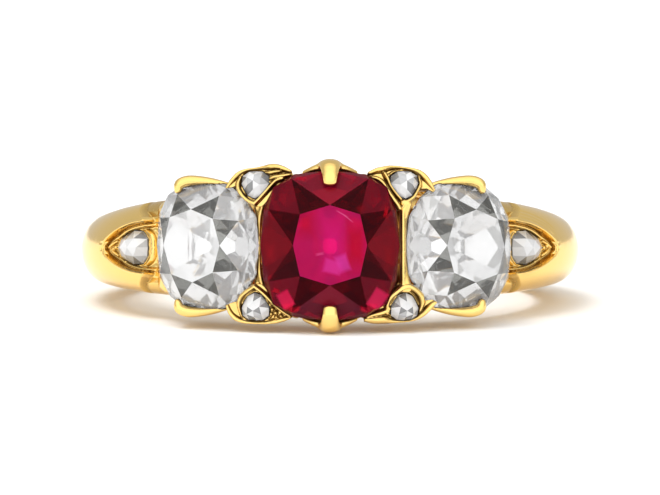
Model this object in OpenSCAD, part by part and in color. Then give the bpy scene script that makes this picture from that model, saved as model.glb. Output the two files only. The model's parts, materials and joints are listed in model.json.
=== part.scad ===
// Three-stone carved half-hoop ring, lying on its side.
//
// The ring is drawn as if worn: the finger runs along Y, the head points to +Z,
// and X runs across the row of stones. lay_down() then lays it on its side.

/* [Finger hole] */
// Radius of the finger hole
bore_r = 8.45; // [8.35:0.05:8.55]

/* [Shank] */
// Thickness of the shank at the back of the finger
back_t = 1.35; // [1.25:0.05:1.5]
// Thickness of the shank at its sides
side_t = 2.05; // [1.95:0.05:2.2]
// Thickness of the shoulders, where the carving begins
shoulder_t = 2.4; // [2.3:0.05:2.5]
// Width of the shank at the back of the finger
back_w = 2.0; // [1.8:0.1:2.4]
// Width of the shank at its sides
side_w = 2.95; // [2.8:0.05:3.05]
// Width of the shoulders
shoulder_w = 3.95; // [3.85:0.05:4]

/* [Ruby] */
// Width of the ruby, across the finger
ruby_w = 5.72; // [5.66:0.02:5.76]
// Length of the ruby, along the finger
ruby_l = 6.2; // [6.14:0.02:6.24]
// Height of the ruby's girdle above the finger
ruby_rise = 2.95; // [2.9:0.05:3]
// Height of the ruby's crown
ruby_crown = 1.15; // [1:0.05:1.3]

/* [Diamonds] */
// Width of the left diamond, across the finger
left_w = 5.0; // [4.9:0.02:5.04]
// Width of the right diamond, across the finger
right_w = 5.3; // [5.2:0.02:5.36]
// Length of both diamonds, along the finger
diamond_l = 5.36; // [5.3:0.02:5.4]
// How far the left diamond leans away from the ruby, in degrees
left_lean = 33; // [32:0.5:34]
// How far the right diamond leans away from the ruby, in degrees
right_lean = 36; // [35:0.5:37]
// Height of the diamonds' crowns
diamond_crown = 1.2; // [1.1:0.05:1.3]

/* [Carved head] */
// Width of the head across the two claws of the ruby
head_w = 7.15; // [7.05:0.05:7.25]
// Size of the rose-cut diamonds between the large stones
rose_d = 1.16; // [1.1:0.02:1.2]
// Width of the rose-cut diamonds in the shoulders
shoulder_rose_d = 1.4; // [1.3:0.02:1.44]
// Length of the rose-cut diamonds in the shoulders
shoulder_rose_l = 1.75; // [1.6:0.05:1.8]
// Clearance of every stone in its seat
seat_gap = 0.03; // [0.02:0.01:0.04]

/* [Hidden] */

gold = [0.86, 0.66, 0.28];
ruby_red = [0.72, 0.02, 0.16];
diamond_white = [0.92, 0.94, 0.96];

// Angles round the finger are counted from the top of the head.
shoulder_angle = 51.5;
dome_start = 39;
side_angle = 90;
back_angle = 180;

// [angle, width, thickness] of the shank, from the head round to the back
SHANK = [
    [36, shoulder_w + 0.15, shoulder_t],
    [48, shoulder_w, shoulder_t],
    [60, shoulder_w - 0.35, shoulder_t - 0.03],
    [74, side_w + 0.25, side_t + 0.18],
    [side_angle, side_w, side_t],
    [132, (side_w + back_w) / 2 - 0.12, (side_t + back_t) / 2 - 0.1],
    [back_angle, back_w, back_t],
];

// Share of the shank's thickness that its straight edges take, under the dome
edge_share = 0.28;
edge_break = 0.14;
// How far the solids reach into the finger hole before it is bored
bore_stock = 0.5;

// Floor of the cut behind each shoulder, above the finger
shelf_rise = 1.5;
// Cut that ends the shoulder, from the tip of its V outwards: [distance round the finger, half-width]
FISHTAIL = [[1.8, 0], [1.2, 0.5], [0.3, 0.92], [-0.7, 1.1], [-0.35, 1.65], [0.2, 2.6]];
// Raised edge of the V: [distance round the finger, half-width, height above the shelf]
V_RIM = [[1.75, 0.02, 0.72], [1.2, 0.52, 0.66], [0.3, 0.94, 0.5], [-0.7, 1.1, 0.3], [-1.5, 1.22, 0.1]];

// Plate under the stones
plate_w = 4.5;
plate_t = 0.72;
plate_reach = 44;
window_r = 1.5;
window_angle = 27;

// Cutting of the cushion stones: [way a crown facet faces, its reach as a share of an ellipse's]
RUBY_CUT = [[0, 1], [37, 1.12], [90, 1], [143, 1.12], [180, 1], [217, 1.12], [270, 1], [323, 1.12]];
LEFT_CUT = [[0, 1], [42, 1.06], [88, 1], [138, 1.1], [180, 0.98], [226, 1.05], [272, 1], [318, 1.06]];
RIGHT_CUT = [[0, 1], [44, 1.06], [90, 1], [134, 1.05], [180, 1], [224, 1.06], [268, 1], [316, 1.08]];

// Gap between the ruby and each diamond
left_gap = 0.1;
right_gap = 0.3;
diamond_drop = 0.25;

// Small stones between the large ones: place, and how far they lean across and along the finger
BETWEEN = [3.07, 2.56, bore_r + 2.66];
between_lean = [14, 16];
shoulder_rose_along = 0.22;

ruby_z = bore_r + ruby_rise;

// Helpers

function mix(a, b, t) = a + (b - a) * t;
function unit(v) = v / norm(v);
function last(v) = v[len(v) - 1];

// Smooth curve through the rows p0 to p3, between p1 and p2
function curve(p0, p1, p2, p3, t) =
    0.5 * ((2 * p1) + (p2 - p0) * t + (2 * p0 - 5 * p1 + 4 * p2 - p3) * t * t
        + (3 * p1 - p0 - 3 * p2 + p3) * t * t * t);

// All rows of a table, with steps rows between each two
function smooth(rows, steps) = [
    for (i = [0:len(rows) - 2], k = [0:steps - 1])
        curve(rows[max(i - 1, 0)], rows[i], rows[i + 1], rows[min(i + 2, len(rows) - 1)], k / steps),
    last(rows),
];

// The row of a table at angle a, on straight stretches between its rows
function row_at(rows, a, i = 0) =
    a <= rows[i + 1][0] || i >= len(rows) - 2
        ? mix(rows[i], rows[i + 1], (a - rows[i][0]) / (rows[i + 1][0] - rows[i][0]))
        : row_at(rows, a, i + 1);

// A closed skin over rings of points, which turn anticlockwise seen from the last ring
module skin(rings) {
    n = len(rings[0]);
    m = len(rings);
    sides = [
        for (i = [0:m - 2], k = [0:n - 1])
            let (a = i * n, b = a + n, j = (k + 1) % n)
            each [[a + k, b + k, b + j], [a + k, b + j, a + j]]
    ];
    caps = [[for (k = [0:n - 1]) k], [for (k = [n - 1:-1:0]) (m - 1) * n + k]];
    polyhedron([for (ring = rings) each ring], concat(sides, caps), convexity = 8);
}

// A bar along rows of [x, y, z, width, depth]. Its width lies along across.
module bar(rows, across, sides = 6, steps = 2) {
    path = smooth(rows, steps);
    at = [for (r = path) [r[0], r[1], r[2]]];
    rings = [
        for (i = [0:len(path) - 1])
            let (
                along = unit(at[min(i + 1, len(at) - 1)] - at[max(i - 1, 0)]),
                wide = unit(across - (across * along) * along),
                deep = cross(along, wide)
            )
            [for (k = [0:sides - 1]) let (a = 360 * (k + 0.5) / sides)
                at[i] + wide * cos(a) * path[i][3] / 2 + deep * sin(a) * path[i][4] / 2]
    ];
    skin(rings);
}

module both_ways(axis) {
    children();
    mirror(axis) children();
}

// Children in all four quarters of the head
module quarters() {
    both_ways([1, 0, 0]) both_ways([0, 1, 0]) children();
}

// Children at an angle round the finger, with Z away from it
module round_finger(angle, rise = 0) {
    rotate([0, angle, 0]) translate([0, 0, bore_r + rise]) children();
}

// Stones

// Where two upright planes cross. Each is [direction, reach].
function crossing(p, q) =
    let (d = sin(q[0] - p[0]))
    [(p[1] * sin(q[0]) - q[1] * sin(p[0])) / d, (cos(p[0]) * q[1] - cos(q[0]) * p[1]) / d];

function ellipse_reach(size, a) = 1 / sqrt(pow(cos(a) / (size[0] / 2), 2) + pow(sin(a) / (size[1] / 2), 2));

// A cushion-shaped brilliant with its girdle round Z = 0 and its table up.
// table and culet are shares of its size, star and lower are shares of the crown and the pavilion.
module brilliant(size, cut, crown, depth, table, culet, star, lower, girdle, bow, grow = 0) {
    n = len(cut);
    ring = [0:n - 1];
    feet = [for (c = cut) [c[0], ellipse_reach(size, c[0]) * c[1] + grow]];
    function plane(k, share) = let (f = feet[(k + n) % n]) [f[0], f[1] * share];
    function edge(k, share) = crossing(plane(k, share), plane(k + 1, share));
    function foot(k, share) = (edge(k - 1, share) + edge(k, share)) / 2;
    function bowed(k) = mix((foot(k, 1) + foot(k + 1, 1)) / 2, edge(k, 1), bow);
    function up(p, z) = [p[0], p[1], z];
    top = girdle / 2 + grow;
    points = concat(
        [for (k = ring) up(foot(k, table), crown + grow)],
        [for (k = ring) up(edge(k, mix(1, table, star)), mix(top, crown + grow, star))],
        [for (k = ring) each [up(foot(k, 1), top), up(bowed(k), top)]],
        [for (k = ring) each [up(foot(k, 1), -top), up(bowed(k), -top)]],
        [for (k = ring) up(edge(k, mix(1, culet, lower)), -mix(top, depth + grow, lower))],
        [for (k = ring) up(edge(k, culet), -depth - grow)]
    );
    s = n;
    g = 2 * n;
    h = 4 * n;
    l = 6 * n;
    u = 7 * n;
    function next(k) = (k + 1) % n;
    function prev(k) = (k + n - 1) % n;
    faces = concat(
        [[for (k = [n - 1:-1:0]) k]],
        [for (k = ring) [k, next(k), s + k]],
        [for (k = ring) [k, s + k, g + 2 * k, s + prev(k)]],
        [for (k = ring) each [
            [s + k, g + 2 * k + 1, g + 2 * k],
            [s + k, g + 2 * next(k), g + 2 * k + 1],
            [g + 2 * k, g + 2 * k + 1, h + 2 * k + 1, h + 2 * k],
            [g + 2 * k + 1, g + 2 * next(k), h + 2 * next(k), h + 2 * k + 1],
            [h + 2 * k, h + 2 * k + 1, l + k],
            [h + 2 * k + 1, h + 2 * next(k), l + k],
        ]],
        [for (k = ring) [h + 2 * k, l + k, u + k, u + prev(k), l + prev(k)]],
        [[for (k = ring) u + k]]
    );
    polyhedron(points, faces, convexity = 4);
}

// A rose-cut stone with a flat back, blunt-pointed towards +X
module rose_cut(long, wide, height, grow = 0) {
    sides = 6;
    edges = 2 * sides;
    shoulder_share = 0.56;
    back = 0.16 + grow;
    function spot(a, share, z) =
        let (blunt = share * (1 + 0.1 * cos(3 * a)))
        [(long / 2 + grow) * blunt * cos(a), (wide / 2 + grow) * blunt * sin(a), z];
    points = concat(
        [[0, 0, height + grow]],
        [for (k = [0:sides - 1]) spot(360 * k / sides, shoulder_share, height * 0.74 + grow)],
        [for (k = [0:edges - 1]) spot(360 * k / edges, 1, grow)],
        [for (k = [0:edges - 1]) spot(360 * k / edges, 1, -back)]
    );
    g = 1 + sides;
    b = g + edges;
    faces = concat(
        [for (k = [0:sides - 1]) let (i = 1 + k, j = 1 + (k + 1) % sides) each [
            [0, j, i],
            [i, j, g + 2 * k + 1],
            [i, g + 2 * k + 1, g + 2 * k],
            [j, g + (2 * k + 2) % edges, g + 2 * k + 1],
        ]],
        [for (k = [0:edges - 1]) let (j = (k + 1) % edges) [g + k, g + j, b + j, b + k]],
        [[for (k = [0:edges - 1]) b + k]]
    );
    polyhedron(points, faces, convexity = 4);
}

module ruby_stone(grow = 0) {
    translate([0, 0, ruby_z])
        brilliant([ruby_w, ruby_l], RUBY_CUT, ruby_crown, 2.4,
            table = 0.53, culet = 0.1, star = 0.25, lower = 0.35, girdle = 0.12, bow = 0.5, grow = grow);
}

// side is -1 for the left diamond and 1 for the right one
module diamond_stone(side, grow = 0) {
    wide = side < 0 ? left_w : right_w;
    lean = side < 0 ? left_lean : right_lean;
    gap = side < 0 ? left_gap : right_gap;
    x = ruby_w / 2 + gap + wide / 2 * cos(lean);
    z = ruby_z - diamond_drop - wide / 2 * sin(lean);
    translate([side * x, 0, z])
        rotate([0, side * lean, 0])
            brilliant([wide, diamond_l], side < 0 ? LEFT_CUT : RIGHT_CUT, diamond_crown, 2.1,
                table = 0.56, culet = 0.14, star = 0.5, lower = 0.4, girdle = 0.2, bow = 0.6, grow = grow);
}

// Children at a small stone between the large ones: Z faces away from the finger
module at_between(sx, sy) {
    translate([sx * BETWEEN[0], sy * BETWEEN[1], BETWEEN[2]])
        rotate([-sy * between_lean[1], sx * between_lean[0], 0])
            children();
}

module between_rose(sx, sy, grow = 0) {
    at_between(sx, sy) rotate(-sy * 90) rose_cut(rose_d, rose_d, 0.42, grow = grow);
}

// Children at a shoulder's small stone: +X points away from the head
module at_shoulder_rose(side) {
    round_finger(side * shoulder_angle, shelf_rise + 0.3)
        rotate(side < 0 ? 180 : 0)
            translate([shoulder_rose_along, 0, 0])
                rotate([0, -8, 0])
                    children();
}

module shoulder_rose(side, grow = 0) {
    at_shoulder_rose(side) rose_cut(shoulder_rose_l, shoulder_rose_d, 0.45, grow = grow);
}

// Metal

// Ring of points across the shank at an angle: over the dome, between the two edges of the finger hole
function shank_ring(row) =
    let (
        w = row[1] / 2,
        edge = bore_r + row[2] * edge_share,
        dome = row[2] * (1 - edge_share),
        section = concat(
            [[-w + 2 * edge_break, bore_r - bore_stock], [-w, bore_r + edge_break]],
            [for (a = [-90:22.5:90]) [w * sin(a), edge + dome * pow(cos(a), 0.85)]],
            [[w, bore_r + edge_break], [w - 2 * edge_break, bore_r - bore_stock]]
        )
    )
    [for (p = section) [p[1] * sin(row[0]), -p[0], p[1] * cos(row[0])]];

module shank_blank() {
    half = smooth(SHANK, 5);
    there = [for (a = [dome_start - 3:6:back_angle - 3]) row_at(half, a)];
    back = [for (i = [len(there) - 1:-1:0]) [2 * back_angle - there[i][0], there[i][1], there[i][2]]];
    skin([for (row = concat(there, [last(half)], back)) shank_ring(row)]);
}

// Takes the fishtail out of a shoulder, down to the shelf
module fishtail_cut() {
    reach = -6;
    wide = last(FISHTAIL)[1];
    outline = concat(
        FISHTAIL,
        [[reach, wide], [reach, -wide]],
        [for (i = [len(FISHTAIL) - 1:-1:1]) [FISHTAIL[i][0], -FISHTAIL[i][1]]]
    );
    round_finger(shoulder_angle, shelf_rise) linear_extrude(height = 3) polygon(outline);
}

// Trims an end of the shank flat, under the stones
module end_cut() {
    long = 3;
    wide = shoulder_w + 2;
    round_finger(dome_start, -1) translate([-long, -wide / 2, 0]) cube([long, wide, shoulder_t + 2]);
}

module shank() {
    color(gold) difference() {
        shank_blank();
        both_ways([1, 0, 0]) {
            fishtail_cut();
            end_cut();
        }
    }
}

// Collar of a shoulder's small stone, and the raised V round it
module shoulder_setting() {
    color(gold) {
        at_shoulder_rose(1) translate([-0.1, 0, -0.75])
            cylinder(r1 = shoulder_rose_d / 2 + 0.3, r2 = shoulder_rose_d / 2 + 0.14, h = 0.83, $fn = 24);
        round_finger(shoulder_angle, shelf_rise) both_ways([0, 1, 0])
            bar([for (r = V_RIM) [r[0], r[1], r[2] - 0.12, 0.2, 0.5]], [0.5, 1, 0], sides = 5, steps = 1);
    }
}

// The plate that lies on the finger, with a window under each large stone
module plate() {
    low = bore_r - bore_stock;
    high = bore_r + plate_t;
    color(gold) difference() {
        skin([
            for (a = [-plate_reach:8:plate_reach])
                let (w = plate_w / 2 - 0.6 * pow(abs(a) / plate_reach, 3))
                [for (p = [[-w + 0.2, low], [-w, bore_r + 0.1], [-w, high - 0.15], [-w + 0.15, high],
                           [w - 0.15, high], [w, high - 0.15], [w, bore_r + 0.1], [w - 0.2, low]])
                    [p[1] * sin(a), -p[0], p[1] * cos(a)]]
        ]);
        for (side = [-1, 0, 1])
            round_finger(side * window_angle, -1) cylinder(r = window_r, h = 3, $fn = 24);
    }
}

// Bars of one quarter of the gallery: [x, y, z, width, depth]
RUBY_ARCH = [
    [2.35, 2.05, bore_r + 0.3, 0.6, 0.7],
    [1.95, 2.35, bore_r + 1.1, 0.5, 0.6],
    [1.4, 2.6, bore_r + 1.8, 0.5, 0.5],
    [0.8, 2.88, bore_r + 2.35, 0.5, 0.45],
    [0.05, 3.15, bore_r + 2.7, 0.45, 0.4],
];
LEAF_STEM = [
    [2.6, 2.1, bore_r + 0.2, 0.8, 0.7],
    [2.85, 2.45, bore_r + 1.2, 0.65, 0.6],
    [3.05, 2.65, bore_r + 2.0, 0.85, 0.6],
    [3.08, 2.68, bore_r + 2.5, 0.9, 0.5],
];
DIAMOND_RAIL = [
    [3.35, 2.45, bore_r + 2.1, 0.8, 0.45],
    [3.95, 2.44, bore_r + 1.65, 0.8, 0.4],
    [4.75, 2.6, bore_r + 1.2, 0.8, 0.36],
    [5.5, 2.75, bore_r + 0.8, 0.75, 0.36],
    [6.05, 2.6, bore_r + 0.4, 0.7, 0.42],
];
DIAMOND_CLAW = [
    [5.95, 2.35, bore_r - 0.25, 0.7, 0.5],
    [6.02, 2.7, bore_r + 0.3, 0.72, 0.45],
    [6.1, 2.8, bore_r + 0.75, 0.66, 0.4],
    [6.2, 2.58, bore_r + 1.14, 0.58, 0.36],
    [6.24, 2.26, bore_r + 1.25, 0.44, 0.28],
];
SHOULDER_SCROLL = [
    [6.0, 2.4, bore_r + 0.2, 0.6, 0.5],
    [6.5, 2.0, bore_r - 0.45, 0.6, 0.55],
    [6.9, 1.66, bore_r - 1.2, 0.65, 0.55],
    [6.95, 1.55, bore_r - 2.0, 0.6, 0.55],
];
DIAMOND_SCROLL = [
    [3.2, 2.45, bore_r + 1.5, 0.5, 0.5],
    [3.5, 2.3, bore_r + 0.65, 0.5, 0.55],
    [4.2, 2.25, bore_r + 0.1, 0.5, 0.55],
    [5.0, 2.35, bore_r - 0.05, 0.45, 0.5],
    [5.5, 2.5, bore_r + 0.4, 0.4, 0.4],
];

module gallery() {
    color(gold) {
        bar(RUBY_ARCH, [0.94, 0.33, -0.4]);
        bar(LEAF_STEM, [1, 0, 0]);
        bar(DIAMOND_RAIL, [0, 0, 1]);
        bar(DIAMOND_CLAW, [0.83, 0, -0.56]);
        bar(SHOULDER_SCROLL, [1, 0, 0.3]);
        bar(DIAMOND_SCROLL, [0.7, 0, 0.7]);
    }
}

// Leaf between two large stones, round its small stone: x runs away from the ruby, y along the finger
LEAF = [
    [0, -0.96], [-0.26, -0.72], [-0.46, -0.4], [-0.76, -0.06], [-1.1, 0.2], [-1.46, 0.36],
    [-1.24, 0.68], [-0.86, 0.78], [-0.34, 0.7], [0.3, 0.66], [0.66, 0.52], [0.96, 0.28], [1.2, 0],
    [1.4, -0.3], [0.96, -0.28], [0.6, -0.56], [0.3, -0.82],
];
// Rims of the leaf: [x, y, height above the leaf, width, depth]
LEAF_OUTER_RIM = [
    [-1.4, 0.44, 0, 0.16, 0.3], [-0.86, 0.7, 0.08, 0.26, 0.4], [-0.1, 0.62, 0.04, 0.16, 0.34],
    [0.6, 0.46, 0.04, 0.18, 0.34], [1.04, 0.08, 0.04, 0.2, 0.34], [1.34, -0.24, 0, 0.16, 0.3],
];
LEAF_INNER_RIM = [
    [-0.72, 0.02, 0.02, 0.14, 0.3], [-0.42, -0.36, 0.04, 0.16, 0.34], [0, -0.84, 0, 0.2, 0.34],
    [0.44, -0.58, 0.04, 0.18, 0.34], [0.72, -0.16, 0.02, 0.14, 0.3],
];
leaf_t = 0.5;

module leaf() {
    color(gold) at_between(1, 1) {
        translate([0, 0, -leaf_t]) linear_extrude(height = leaf_t) polygon(LEAF);
        translate([0, 0, -0.32]) cylinder(r1 = rose_d / 2 - 0.04, r2 = rose_d / 2 + 0.06, h = 0.44, $fn = 24);
        bar(LEAF_OUTER_RIM, [0, 1, 0], sides = 5, steps = 1);
        bar(LEAF_INNER_RIM, [0, 0, 1], sides = 5, steps = 1);
    }
}

module ruby_claw() {
    out = head_w / 2;
    rows = [
        [0, out - 1.1, bore_r + 1.0, 0.8, 0.5],
        [0, out - 0.5, bore_r + 2.0, 1.0, 0.5],
        [0, out - 0.24, bore_r + 2.75, 0.98, 0.48],
        [0, out - 0.36, bore_r + 3.32, 0.86, 0.46],
        [0, out - 0.68, bore_r + 3.58, 0.7, 0.4],
        [0, out - 1.0, bore_r + 3.66, 0.58, 0.3],
    ];
    color(gold) bar(rows, [1, 0, 0], sides = 8);
}

// Wall between the ruby and a diamond
module bridge(side) {
    gap = side < 0 ? left_gap : right_gap;
    high = side < 0 ? ruby_rise - 0.45 : ruby_rise - 0.1;
    low = 0.5;
    rows = [
        for (y = [-2.2, -1.2, 0, 1.2, 2.2])
            [side * (ruby_w / 2 + gap / 2), y, bore_r + (high + low) / 2, 0.36 + gap / 3, (high - low) * 1.15]
    ];
    color(gold) bar(rows, [1, 0, 0], steps = 1);
}

// Wall under the far edge of a diamond, where the head meets the shoulder
module end_wall() {
    rows = [
        for (y = [-2.2, -1.4, 0, 1.4, 2.2])
            [6.75, y, bore_r - 0.75 - 0.08 * y * y, 0.6, 1.5]
    ];
    color(gold) bar(rows, [1, 0, 0.45], steps = 1);
}

module every_stone(grow) {
    ruby_stone(grow);
    for (side = [-1, 1]) {
        diamond_stone(side, grow);
        shoulder_rose(side, grow);
        for (sy = [-1, 1]) between_rose(side, sy, grow);
    }
}

// Shank and plate, with the finger hole bored through both
module band() {
    color(gold) difference() {
        union() {
            shank();
            plate();
        }
        rotate([90, 0, 0]) cylinder(r = bore_r, h = 12, center = true, $fn = 96);
    }
}

module casting() {
    band();
    quarters() gallery();
    quarters() leaf();
    both_ways([0, 1, 0]) ruby_claw();
    both_ways([1, 0, 0]) end_wall();
    both_ways([1, 0, 0]) shoulder_setting();
    for (side = [-1, 1]) bridge(side);
}

// The hoop is one casting, with the seats of the stones cut into it.
module carved_hoop_upright() {
    difference() {
        casting();
        every_stone(seat_gap);
    }
}

// Lying on its side

// It rests on the ruby's lower claw and on the back of the shank.
claw_foot = [head_w / 2, bore_r + 2.75];
claw_belly = 0.015;
back_foot = [back_w / 2, bore_r + back_t * edge_share];
lie_tilt = atan2(claw_foot[0] - back_foot[0], claw_foot[1] + back_foot[1]);
lie_height = claw_foot[0] * cos(lie_tilt) - claw_foot[1] * sin(lie_tilt) + claw_belly;
lie_back = 1.47;

module lay_down() {
    translate([0, lie_back, lie_height]) rotate([90 - lie_tilt, 0, 0]) children();
}

module carved_hoop() {
    color(gold) lay_down() carved_hoop_upright();
}

module ruby() {
    color(ruby_red) lay_down() ruby_stone();
}

module diamond(side) {
    color(diamond_white) lay_down() diamond_stone(side);
}

module small_rose(sx, sy) {
    color(diamond_white) lay_down() between_rose(sx, sy);
}

module small_shoulder_rose(side) {
    color(diamond_white) lay_down() shoulder_rose(side);
}

carved_hoop();
ruby();
diamond(-1);  // diamond_left
diamond(1);  // diamond_right
small_rose(-1, 1);  // rose_left_upper
small_rose(-1, -1);  // rose_left_lower
small_rose(1, 1);  // rose_right_upper
small_rose(1, -1);  // rose_right_lower
small_shoulder_rose(-1);  // rose_left_shoulder
small_shoulder_rose(1);  // rose_right_shoulder
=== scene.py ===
"""Carved three-stone ring, lying on its side.

The shank and its shoulders are one lofted skin. The claws, bridges and gallery are worked out as distances
from their bars on a grid of points, and a skin is drawn where that distance is zero, so that the metal
flows together as a casting does. The leaves and settings of the small stones are drawn the same way, from
tables of ridge heights. The stones are the construction model's own facets with new materials.

The metal is drawn in millimetres with the ring upright: the finger runs along Y, the head points to +Z and
X runs across the row of stones. lie_down() turns that into metres, as the ring lies in the frame.
"""
import json
import math

import bpy
import numpy as np
from bpy.props import FloatProperty, FloatVectorProperty, PointerProperty
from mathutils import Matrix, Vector


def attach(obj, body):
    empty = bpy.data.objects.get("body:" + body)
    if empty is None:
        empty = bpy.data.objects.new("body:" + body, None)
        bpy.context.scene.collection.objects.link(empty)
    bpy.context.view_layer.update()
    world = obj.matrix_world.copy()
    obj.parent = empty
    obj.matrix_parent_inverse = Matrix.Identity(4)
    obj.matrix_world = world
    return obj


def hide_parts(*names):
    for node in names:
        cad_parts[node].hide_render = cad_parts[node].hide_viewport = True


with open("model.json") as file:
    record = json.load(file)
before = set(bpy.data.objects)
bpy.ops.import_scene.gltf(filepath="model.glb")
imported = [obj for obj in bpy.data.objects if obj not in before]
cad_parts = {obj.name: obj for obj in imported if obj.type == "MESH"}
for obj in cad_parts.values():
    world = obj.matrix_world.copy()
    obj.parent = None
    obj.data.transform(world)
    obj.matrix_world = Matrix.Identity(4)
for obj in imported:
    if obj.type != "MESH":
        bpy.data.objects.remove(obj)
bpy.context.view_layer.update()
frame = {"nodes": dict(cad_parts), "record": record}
FINGER_HOLE = frame["record"]["mounts"][0]

bl_info = {
    "name": "Carved Three-Stone Ring",
    "version": (1, 0, 0),
    "blender": (4, 5, 0),
    "location": "3D View > Sidebar > Carved Ring",
    "description": "Gold shank, carved head and cut stones of an old three-stone ring",
    "category": "Add Mesh",
}


# Sizes and finishes


class ShankSizes(bpy.types.PropertyGroup):
    """Sizes of the plain part of the hoop and its shoulders."""

    bore_radius: FloatProperty(
        name="Finger hole radius", description="Radius of the finger hole",
        default=FINGER_HOLE["dims"]["r_mm"] / 1000, unit="LENGTH")
    back_thickness: FloatProperty(
        name="Back thickness", description="Thickness of the shank at the back of the finger",
        default=0.00135, unit="LENGTH")
    side_thickness: FloatProperty(
        name="Side thickness", description="Thickness of the shank at its sides",
        default=0.00205, unit="LENGTH")
    shoulder_thickness: FloatProperty(
        name="Shoulder thickness", description="Thickness where the carving begins",
        default=0.0024, unit="LENGTH")
    back_width: FloatProperty(
        name="Back width", description="Width of the shank at the back of the finger",
        default=0.002, unit="LENGTH")
    side_width: FloatProperty(
        name="Side width", description="Width of the shank at its sides",
        default=0.00295, unit="LENGTH")
    shoulder_width: FloatProperty(
        name="Shoulder width", description="Width of the shoulders",
        default=0.00395, unit="LENGTH")
    line_depth: FloatProperty(
        name="Line depth", description="Depth of the lines engraved beside the V cut",
        default=0.00003, unit="LENGTH")


class HeadSizes(bpy.types.PropertyGroup):
    """Sizes of the carved head."""

    width: FloatProperty(
        name="Head width", description="Width of the head across the two claws of the ruby",
        default=0.00715, unit="LENGTH")
    seat_gap: FloatProperty(
        name="Seat gap", description="Room between a stone and the metal of its seat",
        default=0.00002, unit="LENGTH")
    carving_grain: FloatProperty(
        name="Claw grain", description="Grid spacing of the claws and bridges",
        default=0.000048, unit="LENGTH")
    leaf_grain: FloatProperty(
        name="Leaf grain", description="Grid spacing of the leaves round the small stones",
        default=0.000027, unit="LENGTH")
    gallery_grain: FloatProperty(
        name="Gallery grain", description="Grid spacing of the gallery under the stones",
        default=0.00007, unit="LENGTH")


class GoldFinish(bpy.types.PropertyGroup):
    """Colours and polish of the gold."""

    bright: FloatVectorProperty(
        name="Polished gold", description="Colour of the gold where it is rubbed bright",
        default=(0.965, 0.665, 0.22), subtype="COLOR", min=0, max=1)
    # The painted shade and patina of the cuts and gaps take this colour
    deep: FloatVectorProperty(
        name="Gold in the recesses", description="Colour of the gold in the cuts and gaps",
        default=(0.12, 0.055, 0.012), subtype="COLOR", min=0, max=1)
    roughness: FloatProperty(
        name="Roughness", description="Roughness of the polished gold", default=0.12, min=0, max=1)


class StoneFinish(bpy.types.PropertyGroup):
    """Colours and optics of the stones."""

    # The ruby's red with painted light and shade: brightest through the table, darker round it, darkest
    # through the star facets
    ruby_table: FloatVectorProperty(
        name="Ruby table", description="Colour of the ruby through its table",
        default=(0.6, 0.012, 0.125), subtype="COLOR", min=0, max=1)
    ruby_side: FloatVectorProperty(
        name="Ruby side", description="Colour of the ruby through the facets round its table",
        default=(0.27, 0.009, 0.028), subtype="COLOR", min=0, max=1)
    ruby_star: FloatVectorProperty(
        name="Ruby stars", description="Colour of the ruby through its star facets",
        default=(0.045, 0.001, 0.005), subtype="COLOR", min=0, max=1)
    ruby_index: FloatProperty(
        name="Ruby index", description="Index of refraction of the ruby", default=1.77, min=1)
    # Painted shade: the diamonds' star facets are dark grey
    diamond_star: FloatProperty(
        name="Diamond stars", description="Grey of the diamonds' star facets",
        default=0.14, min=0, max=1)
    diamond_index: FloatProperty(
        name="Diamond index",
        description="How strongly the diamonds bend light. Low values give an old cut's broad facets",
        default=1.62, min=1)
    # Painted light and shade: each facet is given a brightness by chance
    facet_variety: FloatProperty(
        name="Facet variety", description="How much the facets of a diamond differ in brightness",
        default=0.24, min=0, max=1)
    rose_variety: FloatProperty(
        name="Rose cut variety", description="How much more than that the facets of a rose cut differ",
        default=0.5, min=0, max=1)
    ruby_variety: FloatProperty(
        name="Ruby variety", description="How much the facets of the ruby differ in brightness",
        default=0.35, min=0, max=1)
    diamond_clear: FloatProperty(
        name="Diamond clearness", description="Share of the light that goes through a diamond's crown",
        default=0.72, min=0, max=1)
    diamond_table_clear: FloatProperty(
        name="Diamond table clearness",
        description="Share of the light that goes through a diamond's table", default=0.62, min=0, max=1)
    rose_clear: FloatProperty(
        name="Rose cut clearness",
        description="Share of the light that goes through the small stones of the head",
        default=0.42, min=0, max=1)
    shoulder_rose_clear: FloatProperty(
        name="Shoulder stone clearness",
        description="Share of the light that goes through the stones of the shoulders",
        default=0.3, min=0, max=1)
    ruby_clear: FloatProperty(
        name="Ruby clearness", description="Share of the light that goes through the ruby's crown",
        default=0.6, min=0, max=1)
    ruby_table_clear: FloatProperty(
        name="Ruby table clearness", description="Share of the light that goes through the ruby's table",
        default=0.55, min=0, max=1)


class StudioSizes(bpy.types.PropertyGroup):
    """The floor, the light and the camera."""

    camera_distance: FloatProperty(
        name="Camera distance", description="Distance from the camera to the middle of the ring",
        default=0.35, unit="LENGTH")
    camera_height: FloatProperty(
        name="Camera angle", description="How far the camera looks down on the ring",
        default=math.radians(6.5), unit="ROTATION")
    front_light: FloatProperty(
        name="Front light", description="Brightness of the soft light round the camera",
        default=1.55, min=0)
    side_light: FloatProperty(
        name="Side light", description="Brightness of the light from the sides and the back",
        default=0.64, min=0)
    top_light: FloatProperty(
        name="Top light", description="Brightness of the light from above", default=1.45, min=0)
    floor_size: FloatProperty(
        name="Floor size", description="Half the width of the floor", default=1.2, unit="LENGTH")


class CarvedRing(bpy.types.PropertyGroup):
    """Everything a user would change on the ring."""

    shank: PointerProperty(type=ShankSizes)
    head: PointerProperty(type=HeadSizes)
    gold: PointerProperty(type=GoldFinish)
    stones: PointerProperty(type=StoneFinish)
    studio: PointerProperty(type=StudioSizes)


# Where the ring lies

ALONG_FINGER = np.array(FINGER_HOLE["axis"], float)
ALONG_FINGER /= np.linalg.norm(ALONG_FINGER)
TO_HEAD = np.array([0.0, -ALONG_FINGER[2], ALONG_FINGER[1]])
HOLE_CENTRE = np.array(FINGER_HOLE["pos_m"], float) * 1000


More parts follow.
